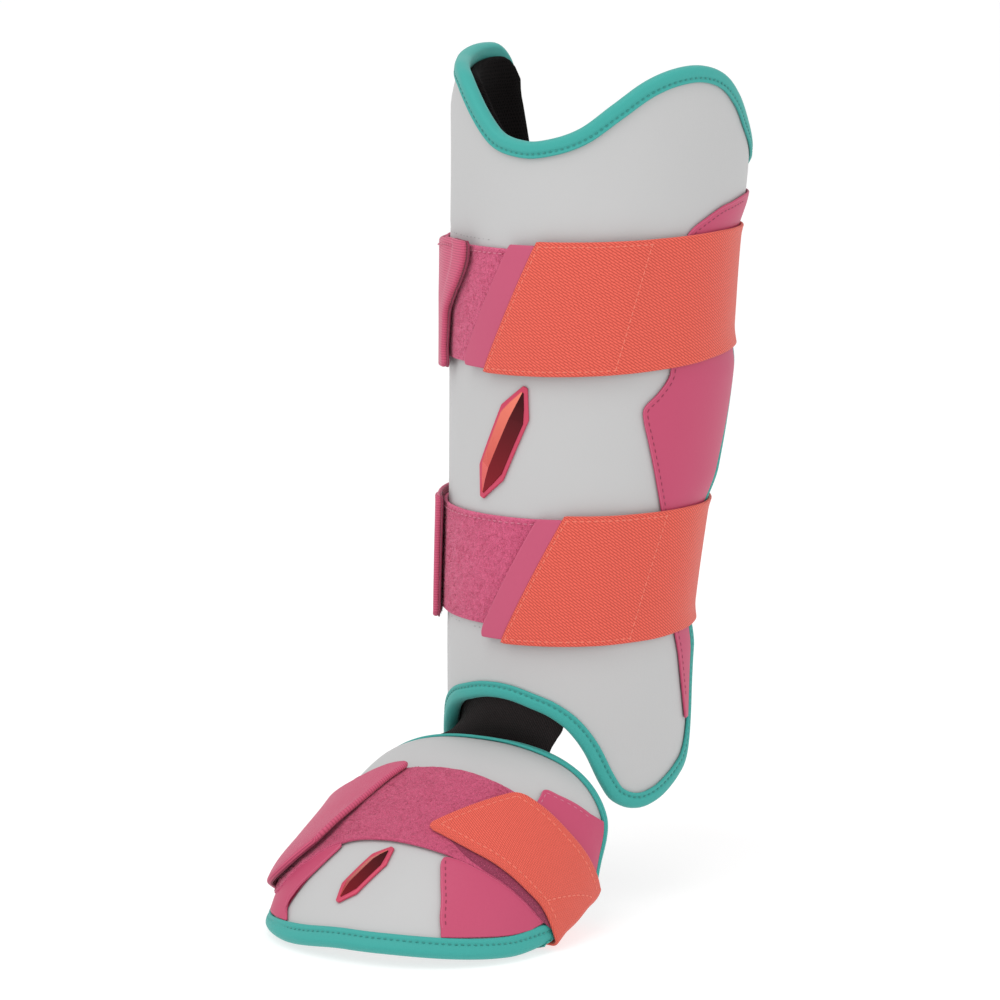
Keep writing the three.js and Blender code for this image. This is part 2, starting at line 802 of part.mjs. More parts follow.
// Foot shell and its binding
const FOOT_CORNER_SHARE = FOOT_REAR_CORNER[0] / 2;
const FOOT_SHARES = columnShares(FOOT_CORNER_SHARE, FOOT_CORNER_SHARE, FOOT_COLUMNS, 3);
const footPlace = (share, t) => {
  const across = 2 * share - 1;
  return [across, mix(footRear(across), footFront(across), t)];
};

function footShell() {
  const columns = FOOT_SHARES.length - 1;
  return sheetOn(footFace, columns, FOOT_ROWS, -FOOT_SHELL, 0, (s, t) =>
    footPlace(FOOT_SHARES[Math.round(s * columns)], t),
  );
}

function footBinding() {
  return bindingOn(footFace, outline(FOOT_SHARES, FOOT_ROWS, footPlace), FOOT_SHELL, FOOT_LEG);
}

// Foot panels: between their upper edge and the binding of the rim
function rimPlace(x, side) {
  const toe = side > 0 ? FOOT_PANEL_TOE.outer : FOOT_PANEL_TOE.inner;
  const t = (x - FOOT_PANEL_RIM) / (1 - FOOT_PANEL_RIM);
  if (x < FOOT_PANEL_RIM) {
    const across = side * mix(toe, 1, x / FOOT_PANEL_RIM);
    return [across, footFront(across)];
  }
  if (x < 1) return [side, mix(footFront(1), footRear(1), t)];
  const across = side * (2 - x);
  return [across, footRear(across)];
}

function rimInset(x, side, distance) {
  const [a, b] = rimPlace(x, side);
  const ahead = footFace(...rimPlace(x + 0.01, side));
  const behind = footFace(...rimPlace(Math.max(x - 0.01, 0), side));
  const { out } = frameOn(footFace, a, b);
  const inward = add([0, 0, 0], unit(cross(out, sub(ahead, behind))), side);
  return walk(footFace, a, b, inward, distance, 8);
}

function footPanel({ side, rim, columns, edge }) {
  const rows = edge.length - 1;
  return sheetOn(footFace, columns, rows, FOOT_AIR, FOOT_AIR + PANEL, (s, t) => {
    const [upperShare, upperAcross] = edge[Math.round(t * rows)];
    const [across, share] = rimInset(mix(...rim, t), side, FOOT_LEG + FOOT_PANEL_MARGIN);
    return [mix(side * upperAcross, across, s), mix(upperShare, share, s)];
  });
}

function footLoopPanel() {
  const columns = FOOT_LOOP.length - 1;
  const low = FOOT_LOOP_AIR;
  return sheetOn(footFace, columns, FOOT_LOOP_ROWS, low, low + LOOP, (s, t) => {
    const [across, rear, front] = FOOT_LOOP[Math.round(s * columns)];
    return [across, mix(rear, front, t)];
  });
}

// Foot strap. On the dome a station is a share across, under the sole a turn round the rim.
const footStrapRow = (table, across, side, height) =>
  Array.from({ length: STRAP_COLUMNS + 1 }, (_, i) => {
    const t = i / STRAP_COLUMNS;
    const q = across(t);
    return lift(footFace, side * q, mix(along(table, q, 1), along(table, q, 2), t), height);
  });

function rimRow(table, side, height, degrees) {
  return Array.from({ length: STRAP_COLUMNS + 1 }, (_, i) => {
    const share = mix(along(table, 1, 1), along(table, 1, 2), i / STRAP_COLUMNS);
    const { point, alongB, out } = frameOn(footFace, side, share);
    const down = add([0, 0, 0], unit(cross(out, alongB)), side);
    const turn = radians(degrees);
    return add(add(point, out, height * Math.cos(turn)), down, height * Math.sin(turn));
  });
}

function footStrap() {
  const height = FOOT_STRAP_SEAT + STRAP / 2;
  const rows = [];
  for (let j = 0; j <= DOME_STEPS; j += 1) {
    const across = (t) => mix(mix(FOOT_TIP.rear, FOOT_TIP.front, t), 1, j / DOME_STEPS);
    rows.push(footStrapRow(FOOT_STRAP_OUTER, across, 1, height));
  }
  const round = height + RIM_ROOM;
  const outer = [45, 90].map((turn) => rimRow(FOOT_STRAP_OUTER, 1, round, turn));
  const inner = [90, 45, 0].map((turn) => rimRow(FOOT_STRAP_INNER, -1, round, turn));
  rows.push(...outer);
  for (let j = 1; j < SOLE_STEPS; j += 1) {
    rows.push(outer[1].map((point, i) => mixPoint(point, inner[0][i], j / SOLE_STEPS)));
  }
  rows.push(...inner);
  return band(rows, STRAP);
}

function footStrapEnd() {
  const height = FOOT_STRAP_SEAT + STRAP_END / 2;
  const rows = [];
  for (let j = 0; j <= FOOT_END_STEPS; j += 1) {
    const step = j / FOOT_END_STEPS;
    const across = (t) => mix(mix(FOOT_HEM.rear, FOOT_HEM.front, t), FOOT_JOIN, step);
    rows.push(footStrapRow(FOOT_STRAP_INNER, across, -1, height));
  }
  return band(rows, STRAP_END);
}

// The assembly
const guard = new THREE.Group();
const seat = lift(shinFace, 0, SEAT_HEIGHT, LINING_IN);

function piece(name, geometry, look) {
  const mesh = new THREE.Mesh(geometry, new THREE.MeshStandardMaterial(LOOKS[look]));
  mesh.name = name;
  mesh.geometry.translate(0, -seat[1], -SEAT_HEIGHT);
  guard.add(mesh);
}

piece('shin_shell', shinShell(), 'grey');
piece('shin_binding', shinBinding(), 'teal');
piece('shin_lining', shinLining(), 'black');
piece('lateral_panel', lateralPanel(), 'pink');
for (const strap of SHIN_STRAPS) {
  piece(`${strap.name}_loop_panel`, loopPanel(strap), 'loop');
  piece(`${strap.name}_strap`, strapBand(strap), 'orange');
  piece(`${strap.name}_strap_tab`, strapTab(strap), 'pink');
  piece(`${strap.name}_strap_end`, strapEnd(strap), 'pink');
}
piece('shin_badge_base', badgeBase(shinFace, SHIN_BADGE), 'pink');
piece('shin_badge_gem', badgeGem(shinFace, SHIN_BADGE), 'ruby');
piece('connector_elastic', connector(), 'black');
piece('foot_shell', footShell(), 'grey');
piece('foot_binding', footBinding(), 'teal');
for (const panel of FOOT_PANELS) {
  piece(`foot_${panel.name}_panel`, footPanel(panel), 'pink');
}
piece('foot_loop_panel', footLoopPanel(), 'loop');
piece('foot_strap', footStrap(), 'orange');
piece('foot_strap_end', footStrapEnd(), 'pink');
piece('foot_badge_base', badgeBase(footFace, FOOT_BADGE), 'pink');
piece('foot_badge_gem', badgeGem(footFace, FOOT_BADGE), 'ruby');

export default guard;
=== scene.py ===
import math

import bpy
import numpy as np
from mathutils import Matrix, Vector


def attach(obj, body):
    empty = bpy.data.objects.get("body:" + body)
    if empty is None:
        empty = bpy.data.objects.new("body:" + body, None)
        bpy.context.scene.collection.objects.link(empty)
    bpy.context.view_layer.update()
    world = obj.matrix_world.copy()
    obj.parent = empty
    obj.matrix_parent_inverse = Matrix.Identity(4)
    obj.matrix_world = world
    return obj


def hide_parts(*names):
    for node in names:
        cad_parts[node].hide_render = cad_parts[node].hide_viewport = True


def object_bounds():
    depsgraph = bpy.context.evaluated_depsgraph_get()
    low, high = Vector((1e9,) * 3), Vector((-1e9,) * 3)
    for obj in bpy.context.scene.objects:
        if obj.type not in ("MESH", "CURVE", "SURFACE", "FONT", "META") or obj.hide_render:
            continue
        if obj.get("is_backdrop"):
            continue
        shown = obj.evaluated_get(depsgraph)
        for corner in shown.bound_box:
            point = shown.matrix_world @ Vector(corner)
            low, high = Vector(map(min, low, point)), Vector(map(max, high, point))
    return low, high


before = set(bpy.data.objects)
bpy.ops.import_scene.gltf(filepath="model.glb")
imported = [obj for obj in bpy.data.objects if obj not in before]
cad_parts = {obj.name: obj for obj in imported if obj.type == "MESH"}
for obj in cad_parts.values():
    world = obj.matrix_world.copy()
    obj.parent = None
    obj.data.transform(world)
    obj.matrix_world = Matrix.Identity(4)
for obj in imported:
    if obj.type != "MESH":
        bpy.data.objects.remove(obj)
cad_low, cad_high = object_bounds()

# A batter's leg guard for the left leg. The tables are in millimetres with the floor at zero
# height, -Y to the front and +X to the outer side. to_frame() brings points into the frame.
rng = np.random.default_rng(7)

# Thicknesses, and air between pieces that lie on each other
GAP = 0.3
AIR = 0.55
SHELL = 3
FOOT_SHELL = 2.5
BINDING = 1.2
PANEL = 1
LOOP = 1.8
STRAP = 1.5
STRAP_END = 2.6
LINING = 5.2
BADGE_BASE = 1.1
BADGE_GEM = 2.2
CONNECTOR = 1.4

# Binding: roll past the edge, width of the legs, and step along the edge
ROLL = 2.2
HOLLOW_ROOM = 0.15
SHIN_LEG = 5
FOOT_LEG = 6
BINDING_STEP = 1.8

# Heights of layers above the shell's outer face
STRAP_SEAT = AIR + LOOP + AIR
FOOT_STRAP_SEAT = AIR + LOOP + GAP
STRAP_SEAT_BARE = GAP + BINDING + AIR
BINDING_DEPTH = GAP + BINDING + HOLLOW_ROOM
LINING_OUT = -(SHELL + BINDING_DEPTH + AIR)
LINING_IN = LINING_OUT - LINING
CONNECTOR_UNDER_SHIN = LINING_OUT - CONNECTOR / 2
CONNECTOR_UNDER_FOOT = -(FOOT_SHELL + BINDING_DEPTH + AIR + CONNECTOR / 2)
SEAT_HEIGHT = 232
LINING_INSET = 2.2

# Radius at which degrees round the shin become millimetres on a pattern's map
MAP_RADIUS = 60

# Shin sections: height, radius of the shell, place of its centre along Y
SHIN_SECTIONS = [
    (40, 53, -23),
    (140, 54, -22),
    (200, 57.5, -15),
    (250, 61.5, -8),
    (310, 63.5, -4),
    (350, 65.2, -0.5),
    (400, 65, -1.5),
]

# Back edges of the shin shell: height, inner edge and outer edge in degrees from the front
BACK_EDGES = [
    (60, -112, 118),
    (110, -112, 120),
    (160, -112, 117),
    (200, -112, 119),
    (215, -112.5, 122),
    (235, -113, 127.5),
    (260, -115, 131),
    (300, -116, 137),
    (325, -115.5, 143),
    (350, -110.5, 145),
    (400, -100.5, 142),
]

# The inner wing leans in towards its top: by how much, over which heights and degrees
LEAN = 6
LEAN_HEIGHTS = (368, 400)
LEAN_DEGREES = (-20, -55)

# Top edge of the shin shell: share of the wrap from the inner back edge, height
TOP_EDGE = [
    (0, 392.5), (0.074, 393.6), (0.186, 390.4), (0.272, 387), (0.3, 384), (0.326, 378.6),
    (0.354, 371.5), (0.378, 365.5), (0.399, 361.1), (0.441, 357.4), (0.463, 356.9), (0.49, 358),
    (0.54, 363.1), (0.587, 373), (0.638, 382.8), (0.691, 387.9), (0.74, 388.4), (0.787, 384.2),
    (0.825, 376.5), (0.87, 365), (0.93, 353), (1, 346),
]

# Bottom edge of the shin shell: share of the wrap away from the middle, height. Its arch is wider
# on the inner side.
BOTTOM_MIDDLE = 0.49
BOTTOM_INNER = 0.88
BOTTOM_EDGE = [
    (0, 121.2), (0.03, 120.6), (0.07, 118.2), (0.12, 113.8), (0.155, 108), (0.19, 98.2),
    (0.225, 84), (0.245, 77.6), (0.265, 74.5), (0.305, 72.2), (0.345, 73.6), (0.4, 78.7),
    (0.44, 83), (0.52, 86),
]

# Rounded corners of the shin shell: share of the wrap, height
INNER_TOP = (0.05, 15)
OUTER_TOP = (0.05, 10)
INNER_LOW = (0.06, 20)
OUTER_LOW = (0.075, 28)

# Front edge of the pink outer panel: height, degrees from the front.
LATERAL_FRONT = [
    (104, 108.5), (122, 101.5), (145, 92.8), (172, 82.5), (200, 73), (215, 67.6), (232, 61.4),
    (240, 58.6), (246, 58), (252, 63.5), (258, 67.6), (264, 68.5), (290, 69), (314, 71), (321, 74),
    (326, 82), (329.6, 90), (331, 97), (332.2, 104), (333, 111),
]
LATERAL_BACK_SHARE = 0.966

# Shin straps: degrees where a strap leaves the loop panel, leaves the shell and meets its end
STRAP_DROP = (48, 62)
STRAP_FREE = 90
STRAP_JOIN = 244
TAB_WIDTH = (0.03, 0.97)
LOOP_INNER_END = -66
LOOP_OUTER_END = 46

# Sewn lines' distance from a strap's edges, millimetres to a degree at its front end and at its
# cross line, and how far the ribbed ends' hems stand off and over what length
STRAP_WIDTH = 56
SEWN_INSET = 2.1
DEGREE_AT_FRONT = 1.1
DEGREE_AT_CROSS = 1.05
HEM_RISE = 1.4
HEM_REACH = 14

# Edges of each strap as height and rise to the back, their sag behind the leg by degrees, slants
# of its front end and its tab in degrees at the bottom and the top, the ribbed end's hem as share
# of its width and degrees, and the loop panel's heights. "cross" is the sewn line that ends its
# doubled part, as degrees and height at the top and at the bottom. "seam" is the height of the
# row that is sewn through the shell's cover.
SHIN_STRAPS = {
    "upper": {
        "bottom": (259.6, 10.5), "top": (317.1, 6.2), "end": (-8.7, 13.9), "tab": (-22, 3.6),
        "sag": [
            (90, 0), (110, 1), (130, 2.4), (200, 5.8), (250, 7.4), (295, 6.3), (307, 5.3), (325, 2.2),
            (343, 1.6),
        ],
        "end_width": (0, 0.99),
        "hem": [
            (0, -32.5), (0.12, -33.8), (0.3, -32.8), (0.44, -31.6), (0.57, -27.2), (0.7, -22.3),
            (0.82, -18.8), (1, -17.2),
        ],
        "loop": (262.5, 313.3), "cross": ((57.8, 317), (46.2, 264)), "seam": 316.2,
    },
    "lower": {
        "bottom": (144, 3.2), "top": (200.5, 1.6), "end": (4.6, 29.9), "tab": (-8, 19.5),
        "sag": [(90, 0), (110, 0.8), (130, 1.2), (200, -0.5), (250, -1.7), (300, -2.2), (343, -2.2)],
        "end_width": (0.01, 0.97),
        "hem": [(0, -44), (1, -40)],
        "loop": (151, 198.5), "cross": ((75.6, 201), (63.6, 148)), "seam": 148.5,
    },
}

# How far the straps pull the shell's outer side in, from which degrees to which, and how the pull
# fades outside and inside a strap's edges
PRESS = 3.3
PRESS_DEGREES = (70, 118)
PRESS_ENDS = (150, 215)
PRESS_FADE = (12, 8)

# How far the outer wing's top corner leans in, over which heights and degrees
CORNER_LEAN = 1.2
CORNER_HEIGHTS = (345, 365)
CORNER_DEGREES = (85, 112)

# Foot sections from the instep (0) to the toe rim (1): inner rim x y z, outer rim x y z,
# ridge x y z, fullness of the inner half, fullness of the outer half
FOOT_SECTIONS = [
    (0, -68, -75, 56, 52, -66, 58, -9, -70, 97.2, 2.4, 2.5),
    (0.1, -69, -84, 52, 54, -75, 53, -9, -80, 100, 2.35, 2.4),
    (0.25, -70, -93, 45, 57, -84, 45, -8, -94, 98, 2.28, 2.25),
    (0.5, -65, -110, 37, 59.5, -100, 37, -7, -126, 83, 2.2, 2.35),
    (0.75, -63.5, -123, 33, 60.5, -113, 33, -5, -161, 60, 2.3, 2.4),
    (1, -60.5, -135.5, 30.5, 61, -124, 30.5, -0.5, -185, 32, 2.25, 2.2),
]
# How far the rim rises at the toe, and on the outer side under the strap
TOE_ARCH = 3.1
STRAP_ARCH = 2.4
FOOT_REAR_CORNER = (0.22, 0.2)
FOOT_FRONT_CORNER = (0.22, 0.13)

# Foot panels: side, part of the rim that each follows, upper edge as shares along and across
FOOT_REAR_EDGE = [
    (0.335, 0.475), (0.3, 0.468), (0.26, 0.465), (0.225, 0.532), (0.16, 0.635), (0.105, 0.72),
]
MEDIAL_REAR_EDGE = [
    (0.335, 0.615), (0.3, 0.61), (0.26, 0.605), (0.225, 0.62), (0.16, 0.655), (0.11, 0.7),
]
LATERAL_FRONT_EDGE = [
    (0.92, 0.434), (0.87, 0.41), (0.8, 0.384), (0.73, 0.343), (0.67, 0.307), (0.66, 0.36),
    (0.664, 0.44), (0.674, 0.548), (0.69, 0.645), (0.718, 0.75), (0.775, 0.87),
]
MEDIAL_FRONT_EDGE = [
    (0.92, 0.362), (0.878, 0.362), (0.838, 0.318), (0.79, 0.257), (0.74, 0.208), (0.69, 0.17),
    (0.692, 0.2), (0.715, 0.257), (0.745, 0.307), (0.77, 0.362), (0.807, 0.417), (0.85, 0.48),
    (0.885, 0.59),
]
FOOT_PANELS = {
    "lateral_front": (1, (0, 0.285), LATERAL_FRONT_EDGE),
    "lateral_rear": (1, (0.9, 1.18), FOOT_REAR_EDGE),
    "medial_front": (-1, (0, 0.18), MEDIAL_FRONT_EDGE),
    "medial_rear": (-1, (0.9, 1.18), MEDIAL_REAR_EDGE),
}
FOOT_PANEL_TOE = {1: 0.46, -1: 0.355}
FOOT_PANEL_RIM = 0.34
FOOT_PANEL_MARGIN = 0.4

# Loop band over the instep: share across, rear edge and front edge as shares along the foot
FOOT_LOOP = [
    (-0.8, 0.43, 0.8), (-0.72, 0.44, 0.845), (-0.63, 0.455, 0.87), (-0.53, 0.465, 0.868),
    (-0.47, 0.468, 0.84), (-0.417, 0.466, 0.803), (-0.362, 0.46, 0.766), (-0.307, 0.443, 0.741),
    (-0.257, 0.425, 0.711), (-0.2, 0.402, 0.688), (-0.11, 0.388, 0.665), (0.03, 0.37, 0.652),
    (0.16, 0.362, 0.65), (0.3, 0.36, 0.652), (0.36, 0.358, 0.656), (0.44, 0.357, 0.66),
    (0.548, 0.355, 0.67), (0.645, 0.354, 0.686), (0.75, 0.352, 0.714), (0.87, 0.352, 0.768),
]

# Edges of the foot strap: share across, rear edge and front edge as shares along the foot
FOOT_STRAP_OUTER = [
    (0.2, 0.37, 0.6), (0.39, 0.361, 0.622), (0.5, 0.35, 0.629), (0.67, 0.33, 0.655),
    (0.8, 0.297, 0.69), (0.88, 0.277, 0.747), (0.96, 0.256, 0.832), (1, 0.248, 0.885),
]
FOOT_STRAP_INNER = [
    (0.11, 0.386, 0.555), (0.19, 0.396, 0.617), (0.27, 0.42, 0.682), (0.35, 0.446, 0.742),
    (0.43, 0.455, 0.788), (0.53, 0.45, 0.822), (0.75, 0.4, 0.838), (1, 0.32, 0.838),
]
FOOT_TIP = (0.398, 0.178)
FOOT_HEM = (0.113, 0.275)
FOOT_CROSS = ((0.995, 0.365), (0.78, 0.655))
FOOT_JOIN = 0.975
RIM_ROOM = 0.05
FOOT_END_RISE = 1.7

# Connector: degrees at the shin, shares across the foot, rows above the shin's edge, rows
# along the foot, its height behind the foot's rear roll, and how it turns under that roll
CONNECTOR_TURN = (-53, 33)
CONNECTOR_ACROSS = (-0.335, 0.3)
CONNECTOR_SHIN_ROWS = (3.8, 0.4, -4.6)
CONNECTOR_FOOT_ROWS = (0.05, 0.13, 0.21)
CONNECTOR_BEHIND = 1.4
CONNECTOR_NEARER = 1.1
CONNECTOR_ABOVE = 0.4
CONNECTOR_COLUMNS = 61

# Badges: place on the face, half length, half width, blunt tip, slant in degrees
SHIN_BADGE = {"across": 0, "along": 230, "half": 27.5, "width": 7.5, "tip": 1, "slant": 23}
FOOT_BADGE = {"across": 0.015, "along": 0.768, "half": 17, "width": 5, "tip": 0.8, "slant": 25}
BADGE_SHOULDER = 0.45
GEM_INSET = 1.6
GEM_TIP_SHARE = 0.3
GEM_EDGE = 0.4


# Small helpers on arrays of points
def unit(v):
    return v / np.linalg.norm(v, axis=-1, keepdims=True)


def mix(a, b, t):
    return a + (b - a) * t


def smooth(x, start, stop):
    t = np.clip((x - start) / (stop - start), 0, 1)
    return t * t * (3 - 2 * t)


def dot(a, b):
    return np.sum(a * b, axis=-1)


def scaled(v, k):
    return v * np.asarray(k)[..., None]


def groove(distance, width):
    return np.exp(-((distance / width) ** 2))


def steps_of(points, axis=0):
    return np.linalg.norm(np.diff(points, axis=axis), axis=-1)


def running(steps):
    return np.concatenate([[0], np.cumsum(steps)])


# Smooth curve through a table's rows, run on straight past both ends
def along(table, x, column=1):
    rows = np.asarray(table, float)
    knots = rows[:, 0]
    values = rows[:, column]
    spans = np.diff(knots)
    rises = np.diff(values) / spans
    slopes = np.concatenate([rises[:1], rises[:1], rises[1:]])[: len(knots)]
    slopes[1:-1] = (rises[:-1] * spans[1:] + rises[1:] * spans[:-1]) / (spans[:-1] + spans[1:])
    slopes[-1] = rises[-1]
    x = np.asarray(x, float)
    i = np.clip(np.searchsorted(knots, x) - 1, 0, len(spans) - 1)
    t = (x - knots[i]) / spans[i]
    s = 1 - t
    inside = values[i] * (1 + 2 * t) * s * s + values[i + 1] * (3 - 2 * t) * t * t
    inside = inside + spans[i] * t * s * (slopes[i] * s - slopes[i + 1] * t)
    before = values[0] + slopes[0] * (x - knots[0])
    after = values[-1] + slopes[-1] * (x - knots[-1])
    return np.where(x <= knots[0], before, np.where(x >= knots[-1], after, inside))


# Point at a share from 0 to 1 of a smooth line through a table's rows
def trace(table, t):
    numbered = [(i, *row) for i, row in enumerate(table)]
    place = np.asarray(t, float) * (len(table) - 1)
    return [along(numbered, place, k + 1) for k in range(len(table[0]))]


# Height of a strap's edge at an angle, and how far the straps pull the shell in
def risen(edge, angle):
    base, rise = edge
    return base + rise * (1 - np.cos(np.radians(angle))) / 2


def pressed(degrees, z):
    outside, inside = PRESS_FADE
    depth = 0
    for strap in SHIN_STRAPS.values():
        low, high = risen(strap["bottom"], degrees), risen(strap["top"], degrees)
        fade = 1 - smooth(z, high - inside, high + outside)
        depth = depth + smooth(z, low - outside, low + inside) * fade
    return PRESS * depth * smooth(degrees, *PRESS_DEGREES) * (1 - smooth(degrees, *PRESS_ENDS))


# Outer faces of the two shells: shin in degrees and height, foot in shares across and along
def shin_face(degrees, z):
    degrees, z = np.broadcast_arrays(np.asarray(degrees, float), np.asarray(z, float))
    lean = LEAN * smooth(z, *LEAN_HEIGHTS) * smooth(degrees, *LEAN_DEGREES)
    lean = lean + CORNER_LEAN * smooth(z, *CORNER_HEIGHTS) * smooth(degrees, *CORNER_DEGREES)
    radius = along(SHIN_SECTIONS, z, 1) - lean - pressed(degrees, z)
    turn = np.radians(degrees)
    y = along(SHIN_SECTIONS, z, 2) - radius * np.cos(turn)
    return np.stack([radius * np.sin(turn), y, z], -1)


def foot_face(across, share):
    across, share = np.broadcast_arrays(np.asarray(across, float), np.asarray(share, float))

    def point(k):
        return np.stack([along(FOOT_SECTIONS, share, k + i) for i in range(3)], -1)

    inner, outer, ridge = point(1), point(4), point(7)
    middle = (inner + outer) / 2
    sine = np.sin(across * math.pi / 2)
    cosine = np.cos(across * math.pi / 2)
    inner_power = along(FOOT_SECTIONS, share, 10)
    outer_power = along(FOOT_SECTIONS, share, 11)
    power = np.where(across < 0, inner_power, outer_power)
    reach = (np.abs(sine) ** power + np.abs(cosine) ** power) ** (-1 / power)
    rise = TOE_ARCH * smooth(across, -0.35, 0.05) * smooth(across, 0.85, 0.2) * smooth(share, 0.75, 1)
    rise = rise + STRAP_ARCH * smooth(across, 0.75, 1) * smooth(share, 0.25, 0.42) * smooth(share, 0.95, 0.7)
    up = scaled(np.array([0.0, 0.0, 1.0]), rise)
    return middle + scaled(outer - middle, sine * reach) + scaled(ridge - middle, cosine * reach) + up


# Directions on a face: along each of its two measures, and outwards
def frame_on(face, a, b):
    step = 0.05 if face is shin_face else 0.001
    a, b = np.broadcast_arrays(np.asarray(a, float), np.asarray(b, float))
    along_a = (face(a + step, b) - face(a - step, b)) / (2 * step)
    along_b = (face(a, b + step) - face(a, b - step)) / (2 * step)
    turn = 1 if face is shin_face else -1
    return face(a, b), along_a, along_b, unit(np.cross(along_a, along_b)) * turn


def lift(face, a, b, height):
    point, _, _, out = frame_on(face, a, b)
    return point + out * np.asarray(height, float)[..., None]


# Place on a face reached from (a, b) by walking a distance in a direction
def walk(face, a, b, direction, distance, steps=4):
    a, b = np.asarray(a, float), np.asarray(b, float)
    for _ in range(steps):
        _, along_a, along_b, _ = frame_on(face, a, b)
        aa, ab, bb = dot(along_a, along_a), dot(along_a, along_b), dot(along_b, along_b)
        da, db = dot(along_a, direction), dot(along_b, direction)
        det = aa * bb - ab * ab
        a = a + (da * bb - db * ab) / det * (distance / steps)
        b = b + (db * aa - da * ab) / det * (distance / steps)
    return a, b


# Edges of the shells
def corner(share, size):
    width, depth = size
    t = np.clip(1 - np.maximum(share, 0) / width, 0, 1)
    return depth * (1 - np.sqrt(1 - t * t))


def top_edge(share):
    return along(TOP_EDGE, share) - corner(share, INNER_TOP) - corner(1 - share, OUTER_TOP)


def bottom_edge(share):
    away = share - BOTTOM_MIDDLE
    low = along(BOTTOM_EDGE, np.where(away < 0, -away * BOTTOM_INNER, away))
    return low + corner(share, INNER_LOW) + corner(1 - share, OUTER_LOW)


def wrap_angle(share, z):
    return mix(along(BACK_EDGES, z, 1), along(BACK_EDGES, z, 2), share)


def foot_rear(across):
    return corner(1 - np.abs(across), FOOT_REAR_CORNER)


def foot_front(across):
    return 1 - corner(1 - np.abs(across), FOOT_FRONT_CORNER)


def shin_place(share, t, inset=0):
    z = mix(bottom_edge(share) + inset, top_edge(share) - inset, t)
    return wrap_angle(share, z), z


def foot_place(share, t):
    across = 2 * share - 1
    return across, mix(foot_rear(across), foot_front(across), t)


# From these tables to the frame, in metres
SEAT = lift(shin_face, 0, SEAT_HEIGHT, LINING_IN) * [0, 1, 0] + [0, 0, SEAT_HEIGHT]


def to_frame(points):
    return (np.asarray(points, float) - SEAT) / 1000


# Smooth noise from -1 to 1 with lumps of a given size
def noise(points, size, seed):
    grid = points / size
    cell = np.floor(grid).astype(np.int64)
    part = grid - cell
    part = part * part * (3 - 2 * part)
    total = 0
    for step in np.ndindex(2, 2, 2):
        key = (cell + step) @ np.array([73856093, 19349663, 83492791]) + seed * 2654435
        key = (key ^ (key >> 13)) * 1274126177
        value = ((key ^ (key >> 16)) & 65535) / 32767.5 - 1
        weight = np.prod(np.where(np.array(step) == 1, part, 1 - part), -1)
        total = total + weight * value
    return total


# Looks. A look is a material with a short way to add nodes to it. The patterns are laid out on
# a map in millimetres: along a piece and across it.
WEAVE = "weave"
SOCKETS = {
    "specular": "Specular IOR Level",
    "sheen": "Sheen Weight",
    "sheen_roughness": "Sheen Roughness",
    "metal": "Metallic",
    "glow": "Emission Strength",
}


def linear(*levels):
    shares = [level / 255 for level in levels]
    return tuple(c / 12.92 if c <= 10 / 255 else ((c + 0.055) / 1.055) ** 2.4 for c in shares) + (1,)


def darker(colour, share):
    return tuple(c * share for c in colour[:3]) + (1,)


class Look:
    def __init__(self, name, roughness, **sockets):
        self.material = bpy.data.materials.new(name)
        self.material.use_nodes = True
        self.tree = self.material.node_tree
        self.tree.nodes.clear()
        self.shader = self.tree.nodes.new("ShaderNodeBsdfPrincipled")
        output = self.tree.nodes.new("ShaderNodeOutputMaterial")
        self.tree.links.new(self.shader.outputs[0], output.inputs[0])
        self.shader.inputs["Roughness"].default_value = roughness
        for socket, value in sockets.items():
            self.shader.inputs[SOCKETS[socket]].default_value = value

    def add(self, kind, inputs=None, **settings):
        node = self.tree.nodes.new("ShaderNode" + kind)
        for key, value in settings.items():
            setattr(node, key, value)
        for key, value in (inputs or {}).items():
            self.put(value, node.inputs[key])
        return node

    def put(self, value, socket):
        if isinstance(value, bpy.types.NodeSocket):
            self.tree.links.new(value, socket)
        else:
            socket.default_value = value

    def math(self, operation, a, b=0.0, c=0.0):
        return self.add("Math", {0: a, 1: b, 2: c}, operation=operation).outputs[0]

    def scale(self, x, by, plus):
        return self.math("MULTIPLY_ADD", x, by, plus)

    def arch(self, x):
        return self.math("SINE", self.math("MULTIPLY", x, math.pi))

    def wave(self, x):
        return self.scale(self.math("SINE", self.math("MULTIPLY", x, math.tau)), 0.5, 0.5)

    def map(self):
        return self.add("UVMap", uv_map=WEAVE).outputs[0]

    def weave(self, angle, pitch):
        inputs = {"Vector": self.map(), "Angle": math.radians(angle)}
        turned = self.add("VectorRotate", inputs, rotation_type="Z_AXIS").outputs[0]
        parts = self.add("SeparateXYZ", {0: turned}).outputs
        return self.math("DIVIDE", parts[0], pitch[0]), self.math("DIVIDE", parts[1], pitch[1])

    def place(self):
        return self.add("TexCoord").outputs["Object"]

    def noise(self, millimetres, detail):
        inputs = {"Vector": self.place(), "Scale": 1000 / millimetres, "Detail": detail}
        return self.add("TexNoise", inputs).outputs[0]

    def colour(self, share, dark, light):
        return self.add("Mix", {0: share, 6: dark, 7: light}, data_type="RGBA").outputs[2]

    def base(self, value):
        self.put(value, self.shader.inputs["Base Color"])

    def bump(self, height, millimetres, strength):
        node = self.add("Bump", {"Height": height, "Strength": strength, "Distance": millimetres / 1000})
        before = self.shader.inputs["Normal"].links
        if before:
            self.put(before[0].from_socket, node.inputs["Normal"])
        self.put(node.outputs[0], self.shader.inputs["Normal"])


